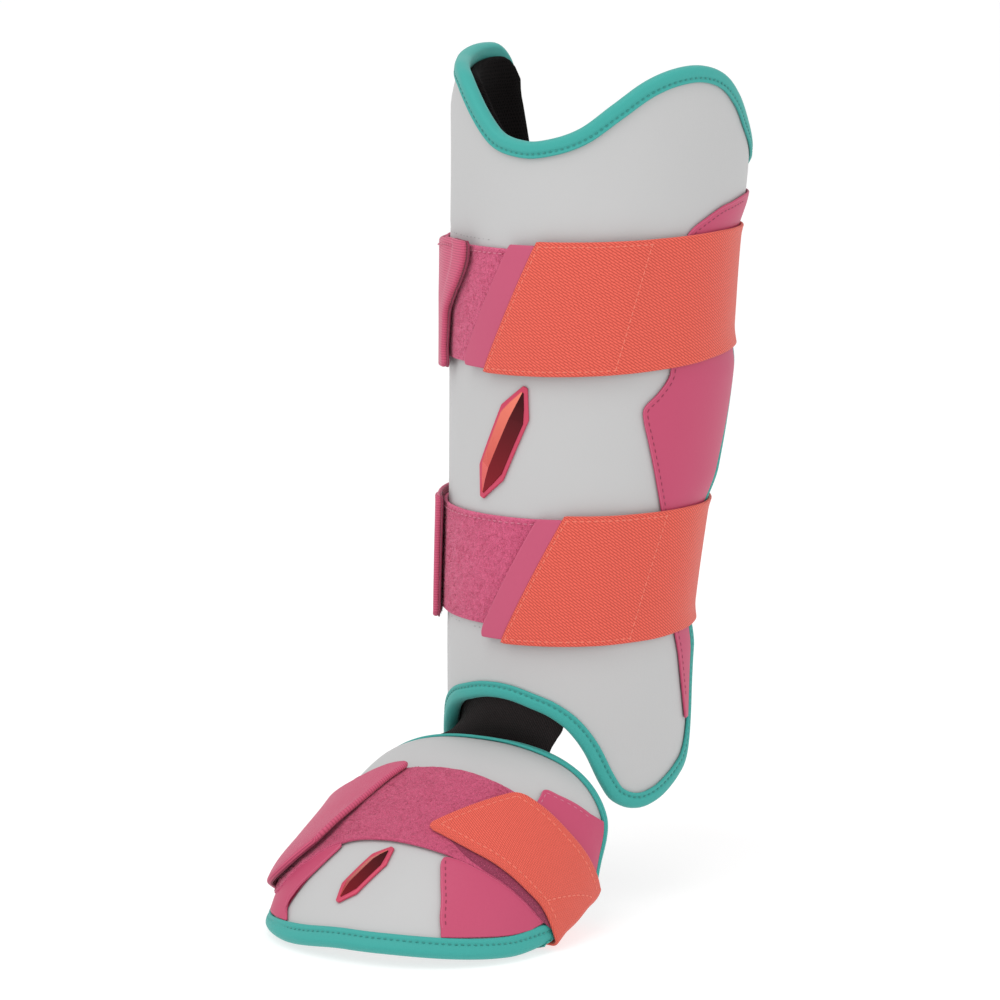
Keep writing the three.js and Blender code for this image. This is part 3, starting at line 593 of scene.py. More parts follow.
def covered(name, colour, shade=0.94):
    """Smooth synthetic leather: a faint grain and slow changes of tone"""
    look = Look(name, 0.52, specular=0.35)
    look.base(look.colour(look.noise(38, 3), darker(colour, shade), colour))
    cells = look.add("TexVoronoi", {"Vector": look.place(), "Scale": 1500.0}, feature="SMOOTH_F1").outputs[0]
    look.bump(cells, 0.05, 0.35)
    look.bump(look.noise(1.6, 3), 0.06, 0.4)
    return look.material


def tape(name, colour):
    """Binding tape: fine ribs across it"""
    look = Look(name, 0.6, specular=0.3, sheen=0.12, sheen_roughness=0.5)
    along_it, across = look.weave(0, (0.75, 0.5))
    threads = look.math("MULTIPLY", look.wave(along_it), look.wave(across))
    # Darker between the threads: painted shade in the weave's grooves
    look.base(look.colour(look.scale(threads, 0.5, 0.5), darker(colour, 0.86), colour))
    look.bump(threads, 0.08, 0.5)
    look.bump(look.noise(2.4, 2), 0.12, 0.4)
    return look.material


def twill(name, light, dark, angle, pitch, depth, sheen=0.2):
    """Twill weave: slanted rows of short raised dashes, each row half a dash on from the last"""
    look = Look(name, 0.75, specular=0.2, sheen=sheen, sheen_roughness=0.4)
    dash, row = look.weave(angle, pitch)
    row = look.scale(look.noise(2.5, 2), 0.5, row)
    ridge = look.arch(look.math("FRACT", row))
    gap = look.arch(look.math("FRACT", look.scale(look.math("FLOOR", row), 0.5, dash)))
    height = look.math("MULTIPLY", look.math("POWER", ridge, 0.7), look.math("POWER", gap, 0.16))
    worn = look.scale(look.noise(0.5, 2), 0.4, -0.2)
    # Colour follows the weave's height: the grooves are painted darker as shade, with random tone from worn
    look.base(look.colour(look.math("ADD", height, worn), dark, light))
    look.bump(height, depth, 0.8)
    return look.material


def ribbed(name, light, dark, pitch):
    """Ribs along a strap, with the cross threads of the weave between them"""
    look = Look(name, 0.8, specular=0.2, sheen=0.25, sheen_roughness=0.4)
    along_it, across = look.weave(0, (0.9, pitch))
    ridge = look.math("ABSOLUTE", look.arch(across))
    threads = look.scale(look.wave(along_it), 0.12, 0.88)
    height = look.math("MULTIPLY", look.math("POWER", ridge, 0.6), threads)
    worn = look.scale(look.noise(0.6, 2), 0.35, -0.17)
    # Colour follows the ribs' height: the grooves between ribs are painted darker as shade, with random tone
    # from worn
    look.base(look.colour(look.math("ADD", height, worn), dark, light))
    look.bump(height, 0.22, 0.7)
    return look.material


def mesh_cloth(name, light, dark, pitch):
    """Air mesh: rows of small round holes, every second row shifted by half a hole"""
    look = Look(name, 0.9, specular=0.08)
    x, y = look.weave(0, (pitch, pitch * 0.87))
    x = look.math("FRACT", look.scale(look.math("FLOOR", y), 0.5, x))
    y = look.math("FRACT", y)
    far_x, far_y = (look.math("POWER", look.math("SUBTRACT", part, 0.5), 2.0) for part in (x, y))
    far = look.math("SQRT", look.math("ADD", far_x, far_y))
    wall = look.add("MapRange", {0: far, 1: 0.18, 2: 0.42}, interpolation_type="SMOOTHSTEP").outputs[0]
    # Darker in the holes: painted shade inside them
    look.base(look.colour(wall, dark, light))
    look.bump(wall, 0.4, 0.8)
    look.bump(look.noise(0.5, 2), 0.1, 0.5)
    return look.material


def pile(name, light, dark):
    """Brushed loop pile: mottled, matte, with a soft sheen"""
    look = Look(name, 0.95, specular=0.05, sheen=0.2, sheen_roughness=0.6)
    fine = look.noise(0.45, 3)
    share = look.scale(fine, 1.7, look.scale(look.noise(2.2, 3), 0.2, -0.45))
    look.base(look.colour(share, dark, light))
    look.bump(fine, 0.5, 0.9)
    return look.material


def thread(name, colour):
    """Sewing thread: twisted strands"""
    look = Look(name, 0.6, specular=0.3, sheen=0.2)
    twist = look.wave(look.math("ADD", *look.weave(0, (0.35, 1.0))))
    # Darker between the strands: painted shade in the twist's grooves
    look.base(look.colour(twist, darker(colour, 0.75), colour))
    look.bump(twist, 0.1, 0.6)
    return look.material


def moulded(name, colour, roughness, metal):
    """Moulded plastic with a faint unevenness"""
    look = Look(name, roughness, metal=metal, specular=0.5)
    look.base(colour)
    look.bump(look.noise(0.9, 2), 0.02, 0.3)
    return look.material


def faceted(name, lit, shaded):
    """Metallic facets with painted light: left ones painted lit, right ones painted in shade, each pair of
    colours from end to end
    """
    look = Look(name, 0.24, metal=0.7)
    parts = look.add("SeparateXYZ", {0: look.map()}).outputs
    right = look.math("GREATER_THAN", parts[1], 0.0)
    look.base(look.colour(right, look.colour(parts[0], *lit), look.colour(parts[0], *shaded)))
    look.bump(look.noise(1.5, 2), 0.02, 0.3)
    return look.material


ELASTIC = linear(236, 104, 88), linear(164, 57, 47)
GEM_LIT = linear(208, 58, 60), linear(255, 140, 118)
GEM_SHADED = linear(130, 24, 34), linear(56, 8, 14)
GREY = covered("grey_cover", linear(188, 188, 188), 0.965)
PINK = covered("pink_cover", linear(189, 71, 105))
# Lighter pink for the cords along panel and tab edges: a painted highlight
EDGE_HIGHLIGHT = covered("pink_edge_highlight", linear(203, 96, 127))
TAB_PINK = covered("tab_cover", linear(190, 80, 112))
TEAL = tape("teal_binding", linear(57, 163, 155))
ORANGE = twill("orange_elastic", *ELASTIC, 35, (2.4, 1.02), 0.2)
FOOT_ORANGE = twill("foot_elastic", *ELASTIC, 20, (1.7, 0.7), 0.16)
RIBBED = ribbed("pink_ribbed", linear(204, 92, 122), linear(166, 62, 92), 1.1)
BLACK_TWILL = twill("black_elastic", linear(42, 34, 34), linear(4, 3, 3), 40, (1.4, 1.0), 0.25, 0.0)
MESH = mesh_cloth("mesh_lining", linear(15, 11, 11), linear(3, 2, 2), 1.9)
PILE = pile("pink_loop", linear(235, 108, 147), linear(164, 60, 93))
FOOT_PILE = pile("foot_loop", linear(222, 96, 134), linear(150, 50, 81))
# Hooks under the ribbed ends: their own dark pink, deepened as painted shade under the lifted hems
HOOKS_AND_SHADE = pile("hooks_with_painted_shade", linear(164, 58, 90), linear(104, 30, 54))
# Painted shade: darker pile for the strip of loop band that the foot strap shades
PAINTED_SHADE_PILE = pile("loop_painted_shade", linear(164, 60, 94), linear(106, 32, 58))
RIM = moulded("badge_rim", linear(196, 60, 90), 0.35, 0.2)
GEM = faceted("badge_gem", GEM_LIT, GEM_SHADED)
TEAL_THREAD = thread("teal_thread", linear(50, 146, 139))
PINK_THREAD = thread("pink_thread", linear(152, 50, 82))
LIGHT_THREAD = thread("light_pink_thread", linear(216, 118, 146))
ORANGE_THREAD = thread("orange_thread", linear(244, 124, 104))
GREY_THREAD = thread("grey_thread", linear(160, 160, 160))

# Kinds of sewing: thread, pitch, and a stitch's length, width and height
SEWING = {
    "binding": (TEAL_THREAD, 2.7, 1.5, 0.7, 0.3),
    "cover": (GREY_THREAD, 3.2, 1.5, 0.5, 0.16),
    "panel": (PINK_THREAD, 3, 1.9, 0.55, 0.22),
    "light_panel": (LIGHT_THREAD, 3, 1.9, 0.55, 0.22),
    "loop": (LIGHT_THREAD, 3, 2, 0.6, 0.3),
    "ribbed": (LIGHT_THREAD, 3, 2, 0.55, 0.3),
    "strap": (ORANGE_THREAD, 3, 2.2, 0.65, 0.26),
}
STITCH_ROUND = 8
STITCH_LONG = 7
HIGHLIGHT_CORD_SIZE = 0.34
FIBRE_WIDTH = 0.17
HOOK_LENGTH = 1.5


# Grids of the pieces: columns, rows, and how far the rounded rim stands out
GRIDS = {
    "shin_shell": (100, 84, 0.8),
    "foot_shell": (100, 60, 0.8),
    "lining": (74, 64, 1.4),
    "lateral_panel": (30, 120, 0.4),
    "foot_panel": (24, 70, 0.4),
    "loop_panel": (150, 62, 0.7),
    "foot_loop_panel": (150, 52, 0.7),
    "margin": (100, 6, 0.2),
    "strap": (240, 46, STRAP / 2),
    "tab": (24, 60, 0.55),
    "strap_end": (80, 40, STRAP_END / 2 - 0.3),
    "hook_tape": (12, 60, 0.3),
}

# Numbers of fibres
LOOP_FIBRES = 9500
FOOT_LOOP_FIBRES = 12500
END_HOOKS = 4500
FOOT_HEM_HOOKS = 2500
FOOT_FRONT_HOOKS = 3500


# Meshes: a shape is its points, its faces and a map in millimetres for each point
def boundary(rows, columns):
    """Row and column of each of a grid's outer points, once round it"""
    right, down = np.arange(columns), np.arange(rows)
    j = np.concatenate([0 * right, down, 0 * right + rows, rows - down])
    i = np.concatenate([right, 0 * down + columns, columns - right, 0 * down])
    return j, i


def quads(index):
    return np.stack([index[:-1, :-1], index[:-1, 1:], index[1:, 1:], index[1:, :-1]], -1).reshape(-1, 4)


def tube_faces(rows, columns, closed=False):
    """Faces of a tube of rows of points, open at its ends or closed into a ring"""
    index = np.arange(rows * columns).reshape(rows, columns)
    if closed:
        index = np.concatenate([index, index[:1]])
    return quads(np.concatenate([index, index[:, :1]], 1))


def slab(grid, out, low, high, edge, spread, turns=5):
    """Sheet between two heights over a grid of points, with a rounded rim that stands out by edge"""
    rows, columns = grid.shape[0] - 1, grid.shape[1] - 1
    low = np.broadcast_to(low, grid.shape[:2])
    high = np.broadcast_to(high, grid.shape[:2])
    loop = boundary(rows, columns)
    near = np.clip(loop[0], 1, rows - 1), np.clip(loop[1], 1, columns - 1)
    base, normal = grid[loop], out[loop]
    aside = unit(np.cross(np.roll(base, -1, 0) - np.roll(base, 1, 0), normal))
    aside = aside * np.sign(np.sum(dot(aside, base - grid[near])))
    middle, half = (high + low)[loop] / 2, (high - low)[loop] / 2
    count = grid.shape[0] * grid.shape[1]
    index = np.arange(count).reshape(grid.shape[:2])
    points = [(grid + scaled(out, high)).reshape(-1, 3), (grid + scaled(out, low)).reshape(-1, 3)]
    rims = [index[loop]]
    for k in range(1, turns + 1):
        turn = math.pi * (0.5 - k / (turns + 1))
        points.append(base + scaled(normal, middle + half * math.sin(turn)) + aside * edge * math.cos(turn))
        rims.append(2 * count + (k - 1) * len(base) + np.arange(len(base)))
    rims.append(count + index[loop])
    rims = np.stack(rims)
    rims = np.concatenate([rims, rims[:, :1]], 1)
    faces = np.concatenate([quads(index), quads(index)[:, ::-1] + count, quads(rims)[:, ::-1]])
    flat = spread.reshape(-1, 2)
    onward = unit(spread[loop] - spread[near]) * edge * math.pi / (turns + 1)
    maps = np.concatenate([flat, flat] + [spread[loop] + onward * k for k in range(1, turns + 1)])
    return np.concatenate(points), faces, maps


def outwards(points, faces):
    a, b, c, d = (points[faces[:, k]] for k in range(4))
    volume = np.sum(dot(a, np.cross(b, c)) + dot(a, np.cross(c, d)))
    return faces if volume > 0 else faces[:, ::-1]


def piece(node, shape, look, part="", flat_shaded=False):
    """Object that stands for a node, or for a small part on it"""
    points, faces, maps = shape
    faces = outwards(points, faces)
    mesh = bpy.data.meshes.new(node + part)
    mesh.from_pydata(to_frame(points).tolist(), [], faces.tolist())
    layer_of_maps = mesh.uv_layers.new(name=WEAVE)
    corners = np.empty(len(mesh.loops), np.int32)
    mesh.loops.foreach_get("vertex_index", corners)
    layer_of_maps.data.foreach_set("uv", maps[corners].astype(np.float32).ravel())
    mesh.polygons.foreach_set("use_smooth", np.full(len(mesh.polygons), not flat_shaded))
    mesh.materials.append(look)
    obj = bpy.data.objects.new(node + part + "_look", mesh)
    bpy.context.scene.collection.objects.link(obj)
    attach(obj, "root")
    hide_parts(node)
    return obj


def patch(face, place, kind):
    """Grid over a face, drawn in so that its rounded rim ends where place() says"""
    columns, rows, edge = GRIDS[kind]
    s, t = np.meshgrid(np.linspace(0, 1, columns + 1), np.linspace(0, 1, rows + 1))
    points = face(*place(s, t))
    wide = steps_of(points, 1).sum(1).mean()
    tall = steps_of(points).sum(0).mean()
    s = mix(edge / wide, 1 - edge / wide, s)
    t = mix(edge / tall, 1 - edge / tall, t)
    a, b = place(s, t)
    grid, _, _, out = frame_on(face, a, b)
    spread = (np.radians(a) * MAP_RADIUS, b) if face is shin_face else (s * wide, t * tall)
    return {"a": a, "b": b, "s": s, "t": t, "grid": grid, "out": out, "wide": wide, "tall": tall,
            "edge": edge, "spread": np.stack(spread, -1)}


def layer(p, low, high):
    """Sheet between two heights over a patch"""
    return slab(p["grid"], p["out"], low, high, p["edge"], p["spread"])


def normals(grid):
    return unit(np.cross(np.gradient(grid, axis=1), np.gradient(grid, axis=0)))


def lengths(grid):
    """Distances along and across a grid of points, as its map"""
    x = running(steps_of(grid).mean(1))
    y = running(steps_of(grid, 1).mean(0))
    return np.stack(np.meshgrid(x, y, indexing="ij"), -1)


def grid_area(p):
    across = np.diff(p["grid"], axis=1)[:-1]
    down = np.diff(p["grid"], axis=0)[:, :-1]
    return np.linalg.norm(np.cross(across, down), axis=-1).sum() / 1e6


# Stitches: short rounded bars laid along a line of points
def stitches(node, part, points, out, kind, closed=False):
    look, pitch, length, width, thick = SEWING[kind]
    if closed:
        points = np.concatenate([points, points[:1]])
        out = np.concatenate([out, out[:1]])
    run = running(steps_of(points))
    count = max(int(run[-1] / pitch), 2)
    stops = (np.arange(count) + 0.5) * run[-1] / count

    def at(values, place):
        return np.stack([np.interp(place, run, values[:, k]) for k in range(3)], -1)

    ahead = unit(at(points, stops + 0.4) - at(points, stops - 0.4))
    up = unit(at(out, stops))
    side = unit(np.cross(up, ahead))
    centre = at(points, stops)
    turn = np.linspace(0, math.tau, STITCH_ROUND, endpoint=False)
    lean = np.linspace(-1, 1, STITCH_LONG)
    fat = np.sqrt(np.maximum(1 - np.abs(lean) ** 3, 0.02))
    shape = np.stack(np.broadcast_arrays(
        lean[:, None] * length / 2,
        fat[:, None] * np.cos(turn) * width / 2,
        fat[:, None] * np.sin(turn) * thick,
    ), -1).reshape(-1, 3)
    solid = centre[:, None] + shape[:, :1] * ahead[:, None] + shape[:, 1:2] * side[:, None]
    solid = solid + shape[:, 2:] * up[:, None]
    one = tube_faces(STITCH_LONG, STITCH_ROUND)
    faces = (one[None] + (np.arange(count) * len(shape))[:, None, None]).reshape(-1, 4)
    maps = np.tile(shape[:, :2], (count, 1))
    return piece(node, (solid.reshape(-1, 3), faces, maps), look, part)


def stitch_line(node, part, face, a, b, height, kind):
    point, _, _, out = frame_on(face, a, b)
    return stitches(node, part, point + scaled(out, np.broadcast_to(height, a.shape)), out, kind)


def inner_line(face, place, inset, span):
    """Line that follows a panel's front edge, a distance inside it"""
    steps = 200
    t = np.linspace(*span, steps)
    a, b = place(np.zeros(steps), t)
    point, _, _, out = frame_on(face, a, b)
    inward = unit(np.cross(out, np.gradient(point, axis=0)))
    into = face(*place(np.full(steps, 0.05), t)) - point
    inward = inward * np.sign(np.sum(dot(inward, into)))
    return walk(face, a, b, inward, inset)


def highlight_cord(node, face, place, inset, span, height):
    """Thin round cord along a panel's front edge, in lighter pink: a painted highlight on the edge"""
    a, b = inner_line(face, place, inset, span)
    point, _, _, out = frame_on(face, a, b)
    centre = point + scaled(out, np.broadcast_to(height, a.shape))
    side = np.cross(out, unit(np.gradient(centre, axis=0)))
    turn = np.linspace(0, math.tau, 8, endpoint=False)[:, None]
    ring = centre[:, None] + (side[:, None] * np.cos(turn) + out[:, None] * np.sin(turn)) * HIGHLIGHT_CORD_SIZE / 2
    maps = np.zeros((len(a) * 8, 2))
    return piece(node, (ring.reshape(-1, 3), tube_faces(len(a), 8), maps), EDGE_HIGHLIGHT, "_edge")


def straight(p, q):
    t = np.linspace(0, 1, 60)
    return mix(p[0], q[0], t), mix(p[1], q[1], t)


# Fibres that stand up from a pile: thin leaning blades
def fibres(node, part, p, height, count, look, length=0.6):
    grid, out = p["grid"], p["out"]
    j = rng.random(count) * (grid.shape[0] - 1.001)
    i = rng.random(count) * (grid.shape[1] - 1.001)
    rows, columns = j.astype(int), i.astype(int)
    down, right = (j - rows)[:, None], (i - columns)[:, None]
    lower = mix(grid[rows, columns], grid[rows, columns + 1], right)
    upper = mix(grid[rows + 1, columns], grid[rows + 1, columns + 1], right)
    up = out[rows, columns]
    foot = mix(lower, upper, down) + up * (height - 0.25)
    lean = rng.normal(size=(count, 3))
    lean = unit(lean - scaled(up, dot(lean, up)))
    side = np.cross(up, lean) * FIBRE_WIDTH / 2
    reach = (length * rng.uniform(0.6, 1.2, count))[:, None]
    bend = foot + up * reach * 0.55 + lean * reach * 0.25
    tip = foot + up * reach * 0.7 + lean * reach * 0.8
    points = np.stack([foot - side, foot + side, bend + side, bend - side, tip + side, tip - side], 1)
    one = np.array([[0, 1, 2, 3], [3, 2, 4, 5]])
    faces = (one[None] + (np.arange(count) * 6)[:, None, None]).reshape(-1, 4)
    return piece(node, (points.reshape(-1, 3), faces, np.zeros((count * 6, 2))), look, part)


def loop_panel(node, p, look, count, seed):
    """Brushed loop fabric: an uneven pile with fibres on it"""
    fuzz = 0.16 * noise(p["grid"], 0.9, seed) + 0.12 * noise(p["grid"], 2.7, seed + 1)
    obj = piece(node, layer(p, AIR, AIR + LOOP - 0.2 + fuzz), look)
    return obj, fibres(node, "_fibres", p, AIR + LOOP, count, look)


def flat_panel(node, face, place, grid, highlighted_span, sewn=None):
    """Pink panel with a painted highlight cord on part of its front edge and, where sewn says so, a sewn row
    """
    p = patch(face, place, grid)
    obj = piece(node, layer(p, AIR, AIR + PANEL), PINK)
    extras = []
    if sewn:
        inset, span, kind = sewn
        a, b = inner_line(face, place, inset, span)
        extras.append(stitch_line(node, "_stitches", face, a, b, AIR + PANEL, kind))
    extras.append(highlight_cord(node, face, place, 0.45, highlighted_span, AIR + PANEL - 0.12))
    return p, obj, extras


# Shells: the cover dips a little where the loop panels are sewn through it
def sewn_dip(a, z):
    inside = smooth(a, -70, -62) * (1 - smooth(a, 46, 60))
    return sum(0.3 * inside * groove(z - strap["seam"], 1.6) for strap in SHIN_STRAPS.values())


p = patch(shin_face, shin_place, "shin_shell")
waves = 0.1 * noise(p["grid"], 34, 3)
shin_shell = piece("shin_shell", layer(p, -SHELL, waves - sewn_dip(p["a"], p["b"])), GREY)

p = patch(foot_face, foot_place, "foot_shell")
foot_shell = piece("foot_shell", layer(p, -FOOT_SHELL, 0.1 * noise(p["grid"], 30, 4)), GREY)


# Bindings: a padded tape folded over the whole edge of a shell
def outline(place):
    ease = (1 - np.cos(np.linspace(0, math.pi, 1500))) / 2
    flat = np.linspace(0, 1, 600)
    a, b = [], []
    for share, t in ((ease, 0), (1, flat), (ease[::-1], 1), (0, flat[::-1])):
        side = np.broadcast_arrays(*place(np.asarray(share, float), np.asarray(t, float)))
        a.append(side[0][:-1])
        b.append(side[1][:-1])
    return np.concatenate(a), np.concatenate(b)


def even_loop(face, a, b, spacing):
    points = face(a, b)
    run = running(np.linalg.norm(np.roll(points, -1, 0) - points, axis=-1))
    count = int(run[-1] / spacing)
    stops = np.arange(count) * run[-1] / count
    a = np.interp(stops, run, np.append(a, a[0]))
    b = np.interp(stops, run, np.append(b, b[0]))
    return a, b, stops


def binding_profile(wall, leg, seam):
    """Distance in from the edge and height, round a folded tape. seam is the sewn line's distance."""
    bottom = -wall - BINDING_DEPTH
    d = np.concatenate([[leg, leg - 0.05, leg - 0.2, leg - 0.5], np.linspace(leg - 0.9, 0, 12)])
    puff = 0.35 * np.sin(math.pi * np.clip(d / leg, 0, 1)) + 0.25 * smooth(d, 2.5, 0)
    skin = GAP + BINDING + puff - 0.55 * groove(d - seam, 0.75)
    skin[:4] = mix(GAP, skin[3], np.array([0.35, 0.68, 0.88, 1]))
    turn = np.linspace(math.pi / 2, -math.pi / 2, 15)[1:-1]
    roll_d = -ROLL * np.cos(turn)
    roll_h = mix(bottom, skin[-1], (np.sin(turn) + 1) / 2)
    under_d = np.array([0, leg * 0.3, leg * 0.7, leg - 0.4, leg])
    under_h = bottom + np.array([0, -0.12, -0.1, 0.1, 0.5])
    inside_d = np.array([leg - 0.1, 0, -0.35, -0.35, 0, leg - 0.1])
    inside_h = np.array([-wall - 0.35, -wall - 0.35, -wall - 0.2, 0.2, 0.3, 0.3])
    distance = np.concatenate([d, roll_d, under_d, inside_d])
    height = np.concatenate([skin, roll_h, under_h, inside_h])
    return distance, height


def leg_share(face, a, b):
    """Share of its leg that a binding shows: less where the foot turns away, outer rear and inner front"""
    if face is shin_face:
        return np.ones_like(a)
    rear = 0.65 * smooth(a, 0.2, 0.5) * smooth(b, 0.45, 0.25)
    return 1 - rear - 0.4 * smooth(a, -0.25, -0.6) * smooth(b, 0.55, 0.8)


def bind(node, face, place, wall, leg, seam):
    a, b = outline(place)
    a, b, run = even_loop(face, a, b, BINDING_STEP)
    point, _, _, out = frame_on(face, a, b)
    inward = unit(np.cross(out, np.roll(point, -1, 0) - np.roll(point, 1, 0)))
    centre = face(0, SEAT_HEIGHT) if face is shin_face else face(0, 0.5)
    if np.mean(dot(inward, centre - point)) < 0:
        inward = -inward
    distance, height = binding_profile(wall, leg, seam)
    legs = leg_share(face, a, b)
    rings = []
    for d, h in zip(distance, height):
        wave = 0.06 * noise(point + d, 9, 11)
        rings.append(lift(face, *walk(face, a, b, inward, d * legs if d > 0 else d), h + wave))
    rings = np.stack(rings, 1)
    around = running(np.hypot(np.diff(distance), np.diff(height)))
    maps = np.stack(np.meshgrid(run, around, indexing="ij"), -1).reshape(-1, 2)
    ring = piece(node, (rings.reshape(-1, 3), tube_faces(*rings.shape[:2], closed=True), maps), TEAL)
    point, _, _, out = frame_on(face, *walk(face, a, b, inward, seam))
    point = point + scaled(out, GAP + BINDING - 0.05 - 4 * (1 - legs))
    sewn = stitches(node, "_stitches", point, out, "binding", closed=True)


bind("shin_binding", shin_face, shin_place, SHELL, SHIN_LEG, 3.1)
bind("foot_binding", foot_face, foot_place, FOOT_SHELL, FOOT_LEG, 3.2)


# Lining: a soft pad that reaches the back edges
def lining_place(s, t):
    return shin_place(s, t, LINING_INSET)


p = patch(shin_face, lining_place, "lining")
from_side, from_end = (np.minimum(p[k], 1 - p[k]) * p[size] for k, size in (("s", "wide"), ("t", "tall")))
full = np.sqrt(1 - (1 - np.clip(np.minimum(from_side, from_end) / 4, 0, 1)) ** 2)
inner = LINING_OUT - 1.8 - (LINING - 1.8) * full - 0.2 * noise(p["grid"], 22, 6)
shin_lining = piece("shin_lining", layer(p, inner, LINING_OUT), MESH)


# Outer panel of the shin
def lateral_place(s, t):
    z, front = trace(LATERAL_FRONT, t)
    return mix(front, wrap_angle(LATERAL_BACK_SHARE, z), s), z


sewn = 2.2, (0.03, 0.985), "panel"
p, obj, extras = flat_panel("lateral_panel", shin_face, lateral_place, "lateral_panel", (0.01, 0.99), sewn)


# Shin straps
def strap_height(strap, angle, t):
    sag = np.where(angle > STRAP_FREE, along(strap["sag"], angle), 0)
    return mix(risen(strap["bottom"], angle), risen(strap["top"], angle), t) - sag


def strap_seat(angle):
    return mix(STRAP_SEAT, STRAP_SEAT_BARE, smooth(angle, *STRAP_DROP))


def cross_angle(strap, z):
    (top_angle, top_z), (low_angle, low_z) = strap["cross"]
    return mix(low_angle, top_angle, (z - low_z) / (top_z - low_z))


def strap_top(strap, angle, z):
    """Height of a strap's upper side: thicker on its doubled part, and drawn in along the sewn lines"""
    past = (angle - cross_angle(strap, z)) * DEGREE_AT_CROSS
    low, high = risen(strap["bottom"], angle), risen(strap["top"], angle)
    level = (z - low) / (high - low)
    ahead = (angle - mix(*strap["end"], level)) * DEGREE_AT_FRONT
    aside = (0.5 - np.abs(level - 0.5)) * STRAP_WIDTH
    sewn = np.maximum(groove(aside - SEWN_INSET, 0.8), groove(ahead - SEWN_INSET, 0.8))
    sewn = np.where(past < 0, sewn, 0)
    dip = np.maximum(0.22 * sewn, 0.35 * groove(past + 1.2, 0.9))
    return strap_seat(angle) + STRAP + 0.45 * (1 - smooth(past, -0.5, 1.2)) - dip


def hem_rise(from_hem):
    return HEM_RISE * (1 - smooth(from_hem, 0, HEM_REACH))


def hook_side(p, low, columns):
    """Underside of a strap end by its hem, for fibres"""
    grid = (p["grid"] + scaled(p["out"], low))[:, :columns]
    return {"grid": grid, "out": -p["out"][:, :columns]}


for name, strap in SHIN_STRAPS.items():
    def loop_place(s, t):
        return mix(LOOP_INNER_END, LOOP_OUTER_END, s), mix(*strap["loop"], t)

    def strap_place(s, t):
        angle = mix(mix(*strap["end"], t), STRAP_JOIN, s)
        return angle, strap_height(strap, angle, t)

    def tab_place(s, t):
        level = mix(*TAB_WIDTH, t)
        start = mix(*strap["tab"], level) + 3.2 * corner(t, (0.12, 1)) + 0.8 * corner(1 - t, (0.05, 1))
        angle = mix(start, mix(*strap["end"], level) + 0.3, s)
        return angle, strap_height(strap, angle, level)

    def end_place(s, t):
        rounded = 2.2 * (corner(t, (0.07, 1)) + corner(1 - t, (0.07, 1)))
        angle = mix(360 + along(strap["hem"], t) - rounded, STRAP_JOIN + GAP, s)
        return angle, strap_height(strap, angle, mix(*strap["end_width"], t))

    def hook_place(s, t):
        hem, _ = end_place(np.zeros_like(s), t)
        angle = hem + 0.9 - 12 * s
        return angle, strap_height(strap, angle, mix(*strap["end_width"], t))

    # Loop panel
    p = patch(shin_face, loop_place, "loop_panel")
    node = name + "_loop_panel"
    obj, hair = loop_panel(node, p, PILE, LOOP_FIBRES, 21)
    edge_z = strap["loop"][1] - 2.3
    a, b = straight((LOOP_INNER_END + 2, edge_z), (LOOP_OUTER_END - 2, edge_z))
    sewn = stitch_line(node, "_stitches", shin_face, a, b, AIR + LOOP + 0.1, "loop")
    a, b = straight((LOOP_INNER_END + 2, strap["seam"]), (LOOP_OUTER_END, strap["seam"]))
    stitch_line("shin_shell", f"_{name}_seam", shin_face, a, b, -0.3, "cover")

    # Orange strap
    p = patch(shin_face, strap_place, "strap")
    node = name + "_strap"
    obj = piece(node, layer(p, strap_seat(p["a"]), strap_top(strap, p["a"], p["b"])), ORANGE)
    lines = {}
    for tag, level in (("top", 1 - SEWN_INSET / STRAP_WIDTH), ("bottom", SEWN_INSET / STRAP_WIDTH)):
        stop = cross_angle(strap, strap_height(strap, 50, level))
        a = np.linspace(mix(*strap["end"], level) + 1, stop, 80)
        lines[tag] = a, strap_height(strap, a, level)
    z = np.linspace(strap_height(strap, 50, 0.02), strap_height(strap, 50, 0.985), 60)
    lines["cross"] = cross_angle(strap, z) - 1.2, z
    t = np.linspace(0.03, 0.97, 60)
    a = mix(*strap["end"], t) + SEWN_INSET / DEGREE_AT_FRONT
    lines["front"] = a, strap_height(strap, a, t)
    sewn = []
    for tag, (a, z) in lines.items():
        height = strap_top(strap, a, z) + 0.05
        sewn.append(stitch_line(node, "_stitches_" + tag, shin_face, a, z, height, "strap"))

    # Pink tab at the strap's front end
    q = patch(shin_face, tab_place, "tab")
    node = name + "_strap_tab"
    sewn.append(piece(node, layer(q, STRAP_SEAT, STRAP_SEAT + STRAP), TAB_PINK))
    # Lighter cord along the tab's edge: a painted highlight
    sewn.append(highlight_cord(node, shin_face, tab_place, 0.5, (0.01, 0.97), STRAP_SEAT + STRAP - 0.15))

    # Ribbed end: its hem stands off the loop panel
    p = patch(shin_face, end_place, "strap_end")
    from_hem = p["s"] * p["wide"]
    low = STRAP_SEAT + np.maximum(hem_rise(from_hem) + 0.25 * noise(p["grid"], 18, 31), 0)
    fold = 0.7 * (1 - smooth(from_hem, 8.5, 10.5))
    node = name + "_strap_end"
    obj = piece(node, layer(p, low, low + STRAP_END - 0.7 + fold), RIBBED)
    s = np.linspace(0.03, 0.97, 80)
    a, z = end_place(s, np.full(80, 0.945))
    height = STRAP_SEAT + STRAP_END + hem_rise(s * p["wide"]) - 0.3
    sewn = stitch_line(node, "_stitches", shin_face, a, z, height, "ribbed")
    # Hook tape reaching just past the hem: darker partly in its own colour, partly as painted shade
    q = patch(shin_face, hook_place, "hook_tape")
    stand = STRAP_SEAT + hem_rise(q["s"] * q["wide"])
    hooks = piece(node, layer(q, stand - 0.45, stand + 0.3), HOOKS_AND_SHADE, "_hook_tape")
    fringe = fibres(node, "_hooks", hook_side(p, low, 13), 0.2, END_HOOKS, HOOKS_AND_SHADE, HOOK_LENGTH)


